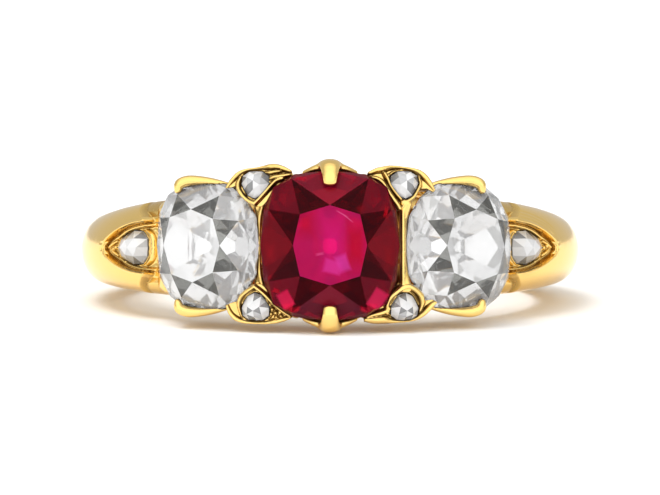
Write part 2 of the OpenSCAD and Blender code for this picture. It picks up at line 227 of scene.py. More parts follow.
def lie_down(points):
    """Upright millimetres to metres in the frame."""
    p = np.asarray(points, float)
    across = np.array([1.0, 0.0, 0.0])
    return (HOLE_CENTRE + p[:, 0:1] * across + p[:, 1:2] * ALONG_FINGER + p[:, 2:3] * TO_HEAD) / 1000


def stand_up(points):
    """Metres in the frame to upright millimetres."""
    q = np.asarray(points, float) * 1000 - HOLE_CENTRE
    return np.stack([q[:, 0], q @ ALONG_FINGER, q @ TO_HEAD], axis=1)


# Curves and outlines


def unit(v):
    """A direction of length 1."""
    return np.asarray(v, float) / np.linalg.norm(v)


def smooth_rows(rows, steps):
    """The rows of a table with a smooth curve through them, steps rows to each one."""
    rows = np.array(rows, float)
    out = []
    for i in range(len(rows) - 1):
        p0, p1 = rows[max(i - 1, 0)], rows[i]
        p2, p3 = rows[i + 1], rows[min(i + 2, len(rows) - 1)]
        for k in range(steps):
            t = k / steps
            out.append(0.5 * (2 * p1 + (p2 - p0) * t + (2 * p0 - 5 * p1 + 4 * p2 - p3) * t * t
                              + (3 * p1 - p0 - 3 * p2 + p3) * t ** 3))
    out.append(rows[-1])
    return np.array(out)


def outline_distance(x, y, corners):
    """Distance to a closed outline, below zero inside it."""
    nearest = np.full(np.broadcast(x, y).shape, np.inf)
    inside = np.zeros(nearest.shape, bool)
    for (ax, ay), (bx, by) in zip(corners, np.roll(corners, -1, axis=0)):
        ex, ey = bx - ax, by - ay
        t = np.clip(((x - ax) * ex + (y - ay) * ey) / max(ex * ex + ey * ey, 1e-12), 0, 1)
        nearest = np.minimum(nearest, np.hypot(x - ax - t * ex, y - ay - t * ey))
        if ay != by:
            crosses = ((ay > y) != (by > y)) & (x < ex * (y - ay) / (by - ay) + ax)
            inside ^= crosses
    return np.where(inside, -nearest, nearest)


def ramp(x):
    """0 below 0, 1 above 1, and smooth between."""
    t = np.clip(x, 0, 1)
    return t * t * (3 - 2 * t)


def ripple(x, y, size):
    """Gentle uneven waves between -1 and 1, always the same."""
    return (np.sin(x / size * 2.1 + 1.3 * np.sin(y / size * 1.7))
            + np.sin(y / size * 2.7 + 1.1 * np.sin(x / size * 1.3 + 2.0))) / 2


# Mesh pieces


def new_piece(name, points, faces, shade=None):
    """A smooth mesh object from upright millimetres. shade is each point's painted shade and patina, from 0
    to 1.
    """
    mesh = bpy.data.meshes.new(name)
    mesh.from_pydata(lie_down(points).tolist(), [], faces if isinstance(faces, list) else faces.tolist())
    mesh.validate()
    mesh.update()
    mesh.shade_smooth()
    if shade is not None:
        layer = mesh.attributes.new("painted_shade_and_patina", "FLOAT", "POINT")
        layer.data.foreach_set("value", np.clip(shade, 0, 1).astype(np.float32))
    piece = bpy.data.objects.new(name, mesh)
    bpy.context.scene.collection.objects.link(piece)
    return piece


# Shank

# Angles round the finger, in degrees from the top of the head
SHOULDER_ANGLE = 51.5
SHANK_START = 40.0
FINE_END = 63.0
# The dome takes what the straight edges leave of the thickness. They are broken this much at the finger
EDGE_SHARE = 0.28
EDGE_BREAK = 0.14
DOME_POWER = 0.425
# Points across the top, inside the finger hole and across the crisp end of the dome
TOP_POINTS, HOLE_POINTS, WALL_ROWS = 125, 8, 12
# Degrees between the fine rings of the shoulder, and the number of rings from there to the back
FINE_RING, BACK_RINGS = 0.185, 120

# V cut in the shoulder, from its tip: [distance round the finger, half-width]
V_CUT = [
    [1.9, 0.0], [1.72, 0.25], [1.3, 0.52], [0.8, 0.76], [0.2, 0.95], [-0.4, 1.06], [-1.1, 1.14],
    [-1.6, 1.18],
]
# Crisp end of the dome, from the middle outwards, and the most height of the flat face behind it
DOME_END = [[-0.8, 0.0], [-0.8, 0.95], [-0.5, 1.28], [-0.05, 1.6], [0.2, 1.9], [0.4, 2.6]]
FLAT_FACE = 1.5
# Where the outlines of the V cut and of the dome's end close, on the side of the head
V_CLOSES, DOME_CLOSES = -3, -6
V_WALL, DOME_WALL = 0.1, 0.09
# A setting's own end of the dome is this wide, so that it has no overhang as the setting lies
SETTING_WALL = 0.17
# The shank's own cut lies this much outside and under the setting that fills it
V_SPARE, V_UNDER = 0.05, 0.08
# Lines beside the right V cut, counted from its edge and fading out towards its tip
LINES = {"first": 0.09, "spacing": 0.15, "count": 3, "end": 1.9, "fade": 0.4}
# Fine cuts round the tip of the left one: their middle, reach, slant and share of the lines' depth
TIP_CUTS = {"spacing": 0.15, "slant": 0.12, "middle": 1.85, "long": 0.65, "half": 0.5, "share": 0.6}
# Spot at the tip of each V cut that is worn uneven
TIP_WEAR = {"middle": 2.05, "reach": 0.5, "depth": 0.012}
# Bright rim that was pushed up along the V cut
V_RIM = {"height": 0.02, "out": 0.03, "wide": 0.035}

# Small stone of a shoulder: its place round the finger, size, height over the finger and lean
SHOULDER_ROSE = {"along": 0.22, "long": 1.75, "wide": 1.4, "rise": 1.8, "tip": 8.0}


def shank_rows(sizes):
    """[angle, width, thickness] of the shank, from the head round to the back."""
    wide, thick = sizes.shoulder_width * 1000, sizes.shoulder_thickness * 1000
    side_w, side_t = sizes.side_width * 1000, sizes.side_thickness * 1000
    back_w, back_t = sizes.back_width * 1000, sizes.back_thickness * 1000
    return smooth_rows([
        [36, wide + 0.15, thick],
        [48, wide, thick],
        [60, wide - 0.35, thick - 0.03],
        [74, side_w + 0.25, side_t + 0.18],
        [90, side_w, side_t],
        [132, (side_w + back_w) / 2 - 0.12, (side_t + back_t) / 2 - 0.1],
        [180, back_w, back_t],
    ], 8)


def mirrored_outline(half, far):
    """An outline from its half at one side of the finger's middle, closed towards the head at far."""
    half = smooth_rows(half, 4)
    closing = [[far, half[-1][1]], [far, -half[-1][1]]]
    return np.concatenate([half, closing, half[::-1] * [1, -1]])


def dome_rise(angle, y, rows):
    """Thickness of the domed shank at an angle, y from its middle."""
    wide = np.interp(angle, rows[:, 0], rows[:, 1]) / 2
    thick = np.interp(angle, rows[:, 0], rows[:, 2])
    return thick * (EDGE_SHARE + (1 - EDGE_SHARE) * np.clip(1 - (y / wide) ** 2, 0, 1) ** DOME_POWER)


def v_bed(along):
    """Floor of the V cut, level with the back of the small stone."""
    lean = math.sin(math.radians(SHOULDER_ROSE["tip"]))
    return SHOULDER_ROSE["rise"] - 0.1 + (along - SHOULDER_ROSE["along"]) * lean


def flat_face(dome):
    """Height of the flat face where the dome would be so high."""
    return np.minimum(FLAT_FACE, 0.75 * dome + 0.1)


def beside_v(along):
    """1 along the V cut, and 0 towards the head, where its sides run out."""
    return ramp((along + 0.6) / 0.3)


def grooves(place, spacing):
    """Rounded grooves between 0 and 1, one to each spacing."""
    return 0.5 - 0.5 * np.cos(2 * math.pi * place / spacing)


def engraved(along, y, cut, side, depth):
    """Lines beside the right V cut, fine cuts at the tip of the left one, and the worn spot at each tip."""
    worn = ramp(1 - np.hypot(along - TIP_WEAR["middle"], y * 0.8) / TIP_WEAR["reach"])
    top = TIP_WEAR["depth"] * ripple(along * 1.2, y * 2.3, 0.2) * worn
    if side > 0:
        into = np.clip(cut - LINES["first"], 0, LINES["spacing"] * LINES["count"])
        fade = ramp(y / 0.15) * ramp((LINES["end"] - along) / LINES["fade"])
        return top - depth * grooves(into, LINES["spacing"]) * beside_v(along) * fade
    cuts = grooves(y + TIP_CUTS["slant"] * (along - LINES["end"]), TIP_CUTS["spacing"])
    round_tip = np.hypot((along - TIP_CUTS["middle"]) / TIP_CUTS["long"], y / TIP_CUTS["half"])
    return top - TIP_CUTS["share"] * depth * cuts * ramp(1.1 - round_tip) * ramp(cut / 0.08)


def shoulder_relief(along, y, dome, side, sizes):
    """Height of the shoulder over the finger: its dome, the crisp V cut and the crisp end."""
    cut = outline_distance(along, y, mirrored_outline(V_CUT, V_CLOSES))
    bed = np.minimum(v_bed(along), dome)
    top = bed + (dome - bed) * ramp(1 + cut / V_WALL)
    top = top + V_RIM["height"] * np.exp(-((cut - V_RIM["out"]) / V_RIM["wide"]) ** 2) * beside_v(along)
    top = top + engraved(along, y, cut, side, sizes.line_depth * 1000)
    end = outline_distance(along, y, mirrored_outline(DOME_END, DOME_CLOSES))
    return flat_face(dome) + (top - flat_face(dome)) * ramp(1 + end / SETTING_WALL)


def ring_angles(middle):
    """Angles of the shank's rings from the head to the back, close together at the end of the dome."""
    at_wall = DOME_END[0][0] - DOME_WALL * np.linspace(1.6, -0.6, WALL_ROWS)
    at_wall = SHOULDER_ANGLE + np.degrees(at_wall / middle)
    return np.concatenate([
        np.arange(SHANK_START, at_wall[0] - 0.05, FINE_RING), at_wall,
        np.arange(at_wall[-1] + 0.1, FINE_END - 0.05, FINE_RING), np.linspace(FINE_END, 180, BACK_RINGS)])


def bend_rings(angles, rows, middle):
    """Rings across the top of the shank that bend along the end of the dome.

    Gives each point's angle, y, distance round the finger and distance past that end. The width is that of
    the place a ring bends to, so the two are found in rounds.
    """
    u = np.linspace(-1, 1, TOP_POINTS)
    spread = 0.6 * u + 0.4 * np.sin(u * math.pi / 2)
    end = smooth_rows(DOME_END, 4)
    wall, start = end[0, 0], math.radians(SHANK_START - SHOULDER_ANGLE) * middle
    straight = np.radians(angles - SHOULDER_ANGLE) * middle
    bent = angles
    for _ in range(4):
        y = np.interp(bent, rows[:, 0], rows[:, 1]) / 2 * spread[None, :]
        shift = np.interp(np.abs(y), end[:, 1], end[:, 0] - wall) * ramp((1.6 - straight) / 2.4)
        along = straight + shift * np.clip((straight - start) / (wall - start), 0, 1)
        bent = SHOULDER_ANGLE + np.degrees(along / middle)
    return bent, y, along, straight - wall


def carved_top(dome, y, along, past_end, side, depth):
    """Height of a shoulder's top over the finger, with room for its setting, and its painted shade."""
    cut = outline_distance(along, y, mirrored_outline(V_CUT, V_CLOSES)) - V_SPARE
    bed = np.minimum(v_bed(along) - V_UNDER, dome)
    top = bed + (dome - bed) * ramp(1 + cut / V_WALL)
    top = top + engraved(along, y, cut + V_SPARE, side, depth)
    flat = flat_face(dome)
    top = flat + (top - flat) * ramp(1 + past_end / DOME_WALL)
    # Painted shade: a dark line at the foot of the dome's crisp end, and the flat face behind it darker,
    # most where y is above 0
    foot = 0.5 * ramp(1 - np.abs(past_end + DOME_WALL) / 0.1) * ramp((dome - flat) / 0.2)
    shade = np.maximum(foot, (0.1 + 0.24 * ramp(y / 0.5)) * ramp(-past_end / DOME_WALL - 0.5))
    return top, shade


def underside(wide, thick):
    """[y, height] of the rings' right edge, of the finger hole and of their left edge."""
    low = [(1.0, 0.7 * thick * EDGE_SHARE + 0.3 * EDGE_BREAK), (1.0, 0 * thick + EDGE_BREAK),
           (1.0 - 0.035 / wide, 0 * thick + 0.05), (1.0 - EDGE_BREAK / wide, 0 * thick)]
    right = [(wide * k, r) for k, r in low]
    hole = [((wide - EDGE_BREAK) * k, 0 * thick) for k in np.linspace(1, -1, HOLE_POINTS + 2)[1:-1]]
    left = [(-y, r) for y, r in right[::-1]]
    return right, hole, left


def shank_points(sizes):
    """Rings of points round the finger, and their painted shade."""
    bore = sizes.bore_radius * 1000
    middle = bore + SHOULDER_ROSE["rise"]
    rows = shank_rows(sizes)
    half = ring_angles(middle)
    rings, shades = [], []
    for side, angles in ((1, half[:, None]), (-1, half[:-1][::-1, None])):
        bent, y, along, past_end = bend_rings(angles, rows, middle)
        dome = dome_rise(bent, y, rows)
        top, shade = carved_top(dome, y, along, past_end, side, sizes.line_depth * 1000)
        top = np.where(angles < FINE_END, top, dome)
        right, hole, left = underside(y[:, -1:], np.interp(bent[:, -1:], rows[:, 0], rows[:, 2]))
        below = right + hole + left
        ys = np.concatenate([y] + [at for at, _ in below], axis=1)
        rs = np.concatenate([top] + [high for _, high in below], axis=1) + bore
        edges = [bent[:, -1:]] * len(right) + [bent[:, :1]] * (len(hole) + len(left))
        turned_by = np.radians(np.concatenate([bent] + edges, axis=1))
        rings.append(np.stack([side * rs * np.sin(turned_by), ys, rs * np.cos(turned_by)], axis=2))
        shades.append(np.pad(shade, ((0, 0), (0, len(below)))))
    return np.concatenate(rings), np.concatenate(shades)


def loft_faces(rings, around):
    """Quads between closed rings of points, with a cap at each end."""
    i, k = np.meshgrid(np.arange(rings - 1), np.arange(around), indexing="ij")
    a, b = i * around + k, i * around + (k + 1) % around
    quads = np.stack([a, a + around, b + around, b], axis=-1).reshape(-1, 4).tolist()
    first = list(range(around))
    last = [(rings - 1) * around + k for k in range(around - 1, -1, -1)]
    return quads + [first, last]


# Metal on a grid of points


class Metal:
    """Distance to the metal, in millimetres, on a grid of points. It is below zero inside the metal."""

    FAR = 3.0
    # The painted shade of a recess: how far off the surface other metal is looked for, and its share of the
    # shade
    RECESS_REACHES = ((0.07, 0.35), (0.16, 0.35), (0.36, 0.3))
    # The eight corners of a cell of the grid, counted in steps from its first one
    CORNERS = [(i, j, k) for i in (0, 1) for j in (0, 1) for k in (0, 1)]

    def __init__(self, low, high, step):
        self.low = np.array(low, float)
        self.step = step
        size = np.ceil((np.array(high, float) - self.low) / step).astype(int) + 1
        self.field = np.full(size, self.FAR, np.float32)
        self.stones = np.full(size, self.FAR, np.float32)

    def window(self, low, high, spare=0.35):
        """The part of the grid from low to high, spare more on each side, and its coordinates."""
        first = np.floor((np.array(low, float) - spare - self.low) / self.step).astype(int)
        final = np.ceil((np.array(high, float) + spare - self.low) / self.step).astype(int) + 1
        first = np.clip(first, 0, self.field.shape)
        final = np.clip(final, 0, self.field.shape)
        part = tuple(slice(a, b) for a, b in zip(first, final))
        x, y, z = (self.low[i] + self.step * np.arange(first[i], final[i]) for i in range(3))
        return part, x[:, None, None], y[None, :, None], z[None, None, :]

    def join(self, part, distance, blend=0.08):
        """Adds metal, with a small fillet where it meets what is there."""
        here = self.field[part]
        fillet = np.clip(blend - np.abs(here - distance), 0, None) ** 2 / (4 * blend)
        self.field[part] = np.minimum(here, distance) - fillet

    def cut(self, part, distance, blend=0.02):
        """Takes metal away."""
        here = self.field[part]
        fillet = np.clip(blend - np.abs(here + distance), 0, None) ** 2 / (4 * blend)
        self.field[part] = np.maximum(here, -distance) + fillet

    def bar(self, rows, across, steps=4, blend=0.08):
        """Adds a bar along rows of [x, y, z, width, depth], with its width along across."""
        path = smooth_rows(rows, steps)
        thick = path[:, 3:5].max() / 2
        part, x, y, z = self.window(path[:, :3].min(0) - thick, path[:, :3].max(0) + thick)
        nearest = np.full(self.field[part].shape, self.FAR, np.float32)
        across = np.asarray(across, float)
        for a, b in zip(path[:-1], path[1:]):
            run = b[:3] - a[:3]
            length = np.linalg.norm(run)
            if length < 1e-6:
                continue
            along = run / length
            wide = unit(across - across.dot(along) * along)
            deep = np.cross(along, wide)
            px, py, pz = x - a[0], y - a[1], z - a[2]
            t = np.clip((px * along[0] + py * along[1] + pz * along[2]) / length, 0, 1)
            px, py, pz = px - run[0] * t, py - run[1] * t, pz - run[2] * t
            ra = (a[3] + (b[3] - a[3]) * t) / 2
            rb = (a[4] + (b[4] - a[4]) * t) / 2
            rc = np.minimum(ra, rb)
            u = (px * wide[0] + py * wide[1] + pz * wide[2]) / ra
            v = (px * deep[0] + py * deep[1] + pz * deep[2]) / rb
            w = (px * along[0] + py * along[1] + pz * along[2]) / rc
            k = np.sqrt(u * u + v * v + w * w)
            slope = np.sqrt((u / ra) ** 2 + (v / rb) ** 2 + (w / rc) ** 2)
            nearest = np.minimum(nearest, k * (k - 1) / np.maximum(slope, 1e-6))
        self.join(part, nearest, blend)

    def seat(self, planes, low, high, gap):
        """Cuts a stone's seat. planes are the stone's facets: [normal, distance from the middle]."""
        part, x, y, z = self.window(low, high, 0.6)
        deepest = np.full(self.field[part].shape, -self.FAR, np.float32)
        for nx, ny, nz, reach in planes:
            np.maximum(deepest, (nx * x + ny * y + nz * z - reach).astype(np.float32), out=deepest)
        self.cut(part, deepest - gap, 0.03)
        self.stones[part] = np.minimum(self.stones[part], deepest)

    def value(self, field, points):
        """A field at any points, between its grid points."""
        q = (points - self.low) / self.step
        size = np.array(field.shape)
        q = np.clip(q, 0, size - 1.001)
        i = q.astype(int)
        f = q - i
        total = 0
        for dx, dy, dz in self.CORNERS:
            weight = np.abs(1 - dx - f[:, 0]) * np.abs(1 - dy - f[:, 1]) * np.abs(1 - dz - f[:, 2])
            total = total + weight * field[i[:, 0] + dx, i[:, 1] + dy, i[:, 2] + dz]
        return total

    def normals(self, points):
        """The way out of the metal at any points."""
        offsets = np.eye(3) * self.step
        g = np.stack([self.value(self.field, points + e) - self.value(self.field, points - e)
                      for e in offsets], axis=1)
        return g / np.maximum(np.linalg.norm(g, axis=1, keepdims=True), 1e-9)

    def skin(self, least=150):
        """Points and quads of the surface, without loose crumbs of fewer than least points."""
        inside = self.field < 0
        at, index = self.crossed_cells(inside)
        quads = self.cell_quads(inside, index)
        return self.without_crumbs(self.settled(self.cell_points(at), quads), quads, least)

    def crossed_cells(self, inside):
        """The grid's cells that the surface goes through, and each one's number in that list, or -1."""
        cells = tuple(n - 1 for n in inside.shape)
        count = np.zeros(cells, np.uint8)
        for i, j, k in self.CORNERS:
            count += inside[i:i + cells[0], j:j + cells[1], k:k + cells[2]]
        at = np.argwhere((count > 0) & (count < 8))
        index = np.full(cells, -1, np.int64)
        index[tuple(at.T)] = np.arange(len(at))
        return at, index

    def cell_points(self, at):
        """A point in each of those cells, amid the places where the surface crosses the cell's edges."""
        total = np.zeros((len(at), 3))
        crossings = np.zeros(len(at))
        values = {c: self.field[tuple((at + c).T)].astype(float) for c in self.CORNERS}
        for c in self.CORNERS:
            for axis in range(3):
                if c[axis]:
                    continue
                va, vb = values[c], values[tuple(c[n] + (n == axis) for n in range(3))]
                hit = (va < 0) != (vb < 0)
                t = np.where(hit, va / np.where(hit, va - vb, 1), 0)
                spot = np.array(c, float) + np.eye(3)[axis] * t[:, None]
                total += np.where(hit[:, None], spot, 0)
                crossings += hit
        return self.low + self.step * (at + total / crossings[:, None])

    @staticmethod
    def cell_quads(inside, index):
        """Quads between the points of the four cells round each grid edge that the surface crosses."""
        quads = []
        for axis in range(3):
            one, two = [n for n in range(3) if n != axis]
            lo, hi = [slice(None)] * 3, [slice(None)] * 3
            lo[axis], hi[axis] = slice(0, -1), slice(1, None)
            spots = np.argwhere(inside[tuple(lo)] != inside[tuple(hi)])
            spots = spots[(spots[:, one] > 0) & (spots[:, two] > 0)
                          & (spots[:, one] < index.shape[one]) & (spots[:, two] < index.shape[two])]
            e1, e2 = np.eye(3, dtype=int)[one], np.eye(3, dtype=int)[two]
            four = np.stack([index[tuple((spots - e).T)] for e in (e1 + e2, e2, 0 * e1, e1)], axis=1)
            outward = inside[tuple(spots.T)] ^ (axis == 1)
            quads.append(np.where(outward[:, None], four, four[:, ::-1]))
        quads = np.concatenate(quads)
        return quads[(quads >= 0).all(1)]

    def settled(self, points, quads, rounds=3):
        """Evens out the quads, and keeps their points on the surface."""
        for _ in range(rounds):
            total = np.zeros_like(points)
            number = np.zeros(len(points))
            for k in range(4):
                a, b = quads[:, k], quads[:, (k + 1) % 4]
                for n in range(3):
                    total[:, n] += (np.bincount(a, points[b, n], len(points))
                                    + np.bincount(b, points[a, n], len(points)))
                number += np.bincount(a, minlength=len(points)) + np.bincount(b, minlength=len(points))
            mean = total / np.maximum(number, 1)[:, None]
            points = points + 0.5 * (mean - points)
            for _ in range(2):
                away = np.clip(self.value(self.field, points), -self.step, self.step)
                points = points - 0.8 * away[:, None] * self.normals(points)
        return points

    @staticmethod
    def without_crumbs(points, quads, least):
        """Leaves out each loose part with fewer than least points."""
        label = np.arange(len(points))
        while True:
            lowest = label[quads].min(axis=1)
            new = label.copy()
            for k in range(4):
                np.minimum.at(new, quads[:, k], lowest)
            new = new[new]
            if (new == label).all():
                break
            label = new
        sizes = np.bincount(label, minlength=len(points))
        keep = sizes[label] >= least
        quads = quads[keep[quads[:, 0]]]
        used = np.unique(quads)
        renumber = np.full(len(points), -1)
        renumber[used] = np.arange(len(used))
        return points[used], renumber[quads]

    def painted_shade_and_patina(self, points):
        """Painted shade and patina from 0 to 1: how deep in a cut or gap each point lies."""
        outward = self.normals(points)
        steep = np.clip(self.value(self.field, points + outward * self.step) / self.step, 0.3, 1)
        solid = np.minimum(self.field, self.stones)
        shade = np.zeros(len(points))
        for reach, share in self.RECESS_REACHES:
            found = self.value(solid, points + outward * reach)
            shade += share * np.clip(1 - found / (reach * steep), 0, 1)
        return ramp((shade - 0.06) / 0.7)


# Carved head

# Small stone between two large ones: its place over the finger, and its lean in degrees each way
BETWEEN = {"spot": (3.07, 2.56, 2.66), "across": 14.0, "along": 16.0}
QUARTERS = [(-1, 1), (1, 1), (-1, -1), (1, -1)]

# Bars of one quarter of the gallery: [x, y, height over the finger, width, depth]
RUBY_ARCH = [
    [2.35, 2.05, 0.3, 0.6, 0.7],
    [1.95, 2.35, 1.1, 0.5, 0.6],
    [1.4, 2.6, 1.8, 0.5, 0.5],
    [0.8, 2.88, 2.35, 0.5, 0.45],
    [0.05, 3.15, 2.7, 0.45, 0.4],
]
LEAF_STEM = [
    [2.6, 2.1, 0.2, 0.8, 0.7],
    [2.85, 2.45, 1.2, 0.65, 0.6],
    [3.05, 2.65, 2.0, 0.85, 0.6],
    [3.08, 2.68, 2.5, 0.9, 0.5],
]
# Wall under the girdle round a corner of the ruby
RUBY_CORNER = [
    [2.8, 0.9, 2.0, 0.34, 1.2],
    [2.76, 1.5, 2.1, 0.36, 1.3],
    [2.56, 2.08, 2.15, 0.36, 1.3],
    [2.12, 2.54, 2.1, 0.34, 1.1],
    [1.4, 2.8, 1.95, 0.34, 0.8],
]
DIAMOND_RAIL = [
    [3.35, 2.35, 2.0, 0.8, 0.32],
    [3.95, 2.4, 1.55, 0.8, 0.26],
    [4.75, 2.58, 1.1, 0.8, 0.24],
    [5.5, 2.68, 0.7, 0.75, 0.26],
    [6.0, 2.5, 0.3, 0.7, 0.34],
]
DIAMOND_BLADE = [
    [3.9, 2.42, 1.86, 0.16, 0.24],
    [4.35, 2.55, 1.74, 0.24, 0.36],
    [4.9, 2.66, 1.54, 0.32, 0.46],
    [5.45, 2.71, 1.36, 0.4, 0.5],
    [5.88, 2.69, 1.26, 0.46, 0.5],
    [6.2, 2.56, 1.26, 0.44, 0.44],
    [6.27, 2.3, 1.28, 0.32, 0.28],
]
DIAMOND_CLAW = [
    [5.95, 2.35, -0.25, 0.7, 0.5],
    [6.02, 2.6, 0.3, 0.6, 0.4],
    [6.1, 2.66, 0.75, 0.5, 0.36],
    [6.16, 2.62, 1.1, 0.42, 0.34],
]
SHOULDER_SCROLL = [
    [5.8, 2.2, 0.1, 0.5, 0.45],
    [6.25, 1.6, -0.5, 0.5, 0.42],
    [6.65, 1.35, -1.2, 0.5, 0.42],
    [6.85, 1.3, -2.0, 0.5, 0.42],
]
DIAMOND_SCROLL = [
    [3.2, 2.45, 1.5, 0.5, 0.5],
    [3.5, 2.3, 0.65, 0.5, 0.55],
    [4.2, 2.25, 0.1, 0.5, 0.55],
    [5.0, 2.35, -0.05, 0.45, 0.5],
    [5.5, 2.5, 0.4, 0.4, 0.4],
]

# The bars of each quarter that hold the stones, and those under them, with the way that their width lies
HOLDING_BARS = ((RUBY_CORNER, [0.7, 0.7, 0]), (DIAMOND_RAIL, [0, 0, 1]), (DIAMOND_CLAW, [0.83, 0, -0.56]),
                (DIAMOND_BLADE, [0, 1, 0]))
GALLERY_BARS = ((RUBY_ARCH, [0.94, 0.33, -0.4]), (LEAF_STEM, [1, 0, 0]), (SHOULDER_SCROLL, [1, 0, 0.3]),
                (DIAMOND_SCROLL, [0.7, 0, 0.7]))
# Their grids: reach to each side of the middle, spare over the head's width, and how far they go below and
# above the finger's top
CLAW_GRID = {"reach": 7.1, "spare": 0.25, "below": 1.0, "above": 4.1}
GALLERY_GRID = {"reach": 7.6, "spare": 0.2, "below": 3.0, "above": 3.0}

# Claw of the ruby: [x, distance inwards from the head's edge, height over the finger, width, depth]
RUBY_CLAW = [
    [0, 1.1, 1.0, 0.8, 0.5],
    [0, 0.5, 2.0, 1.0, 0.5],
    [0, 0.26, 2.75, 0.98, 0.5],
    [0, 0.34, 3.25, 0.84, 0.5],
    [0, 0.62, 3.56, 0.68, 0.42],
    [0, 0.98, 3.64, 0.56, 0.3],
]
# Peaked rim on both sides of that claw, in the form of the gallery's bars
RUBY_PEAKS = [
    [-1.0, 3.0, 2.5, 0.24, 0.4],
    [-0.5, 3.2, 2.72, 0.32, 0.5],
    [0, 3.3, 2.8, 0.36, 0.5],
    [0.5, 3.2, 2.72, 0.32, 0.5],
    [1.0, 3.0, 2.5, 0.24, 0.4],
]
# Bridge between the ruby and each diamond: x, gap between the stones, height of its foot and its top
BRIDGES = {
    -1: {"at": 2.86 + 0.05, "gap": 0.1, "foot": 0.5, "top": 2.5},
    1: {"at": 2.86 + 0.15, "gap": 0.3, "foot": 0.5, "top": 2.86},
}
# Rib on each bridge: [y, how far it bows away from the ruby, height over the bridge, share of its width]
BRIDGE_RIB = [
    [-1.8, 0.12, -0.06, 1.3],
    [-1.25, 0.05, -0.1, 0.95],
    [-0.5, 0.0, -0.14, 0.66],
    [0.4, -0.04, -0.12, 0.6],
    [1.15, 0.02, -0.08, 0.85],
    [1.75, 0.1, -0.04, 1.35],
]

# Bar that ends the head beside a shoulder: [y, height over the finger, width, depth], at this x
END_BAR_AT = 6.75
END_BAR = [[y, -0.75 - 0.08 * y * y, 0.6, 1.5] for y in (-1.6, -1.1, 0, 1.1, 1.6)]
# Plate on the finger: thickness, where it ends in degrees, rounding of its edges, half-width at the middle
# and how much narrower it ends. Round windows open under the large stones
PLATE = {"thick": 0.72, "end": 44.0, "round": 0.12, "half": 2.25, "narrower": 0.6}
WINDOWS = {"angles": (-27, 0, 27), "radius": 1.5}

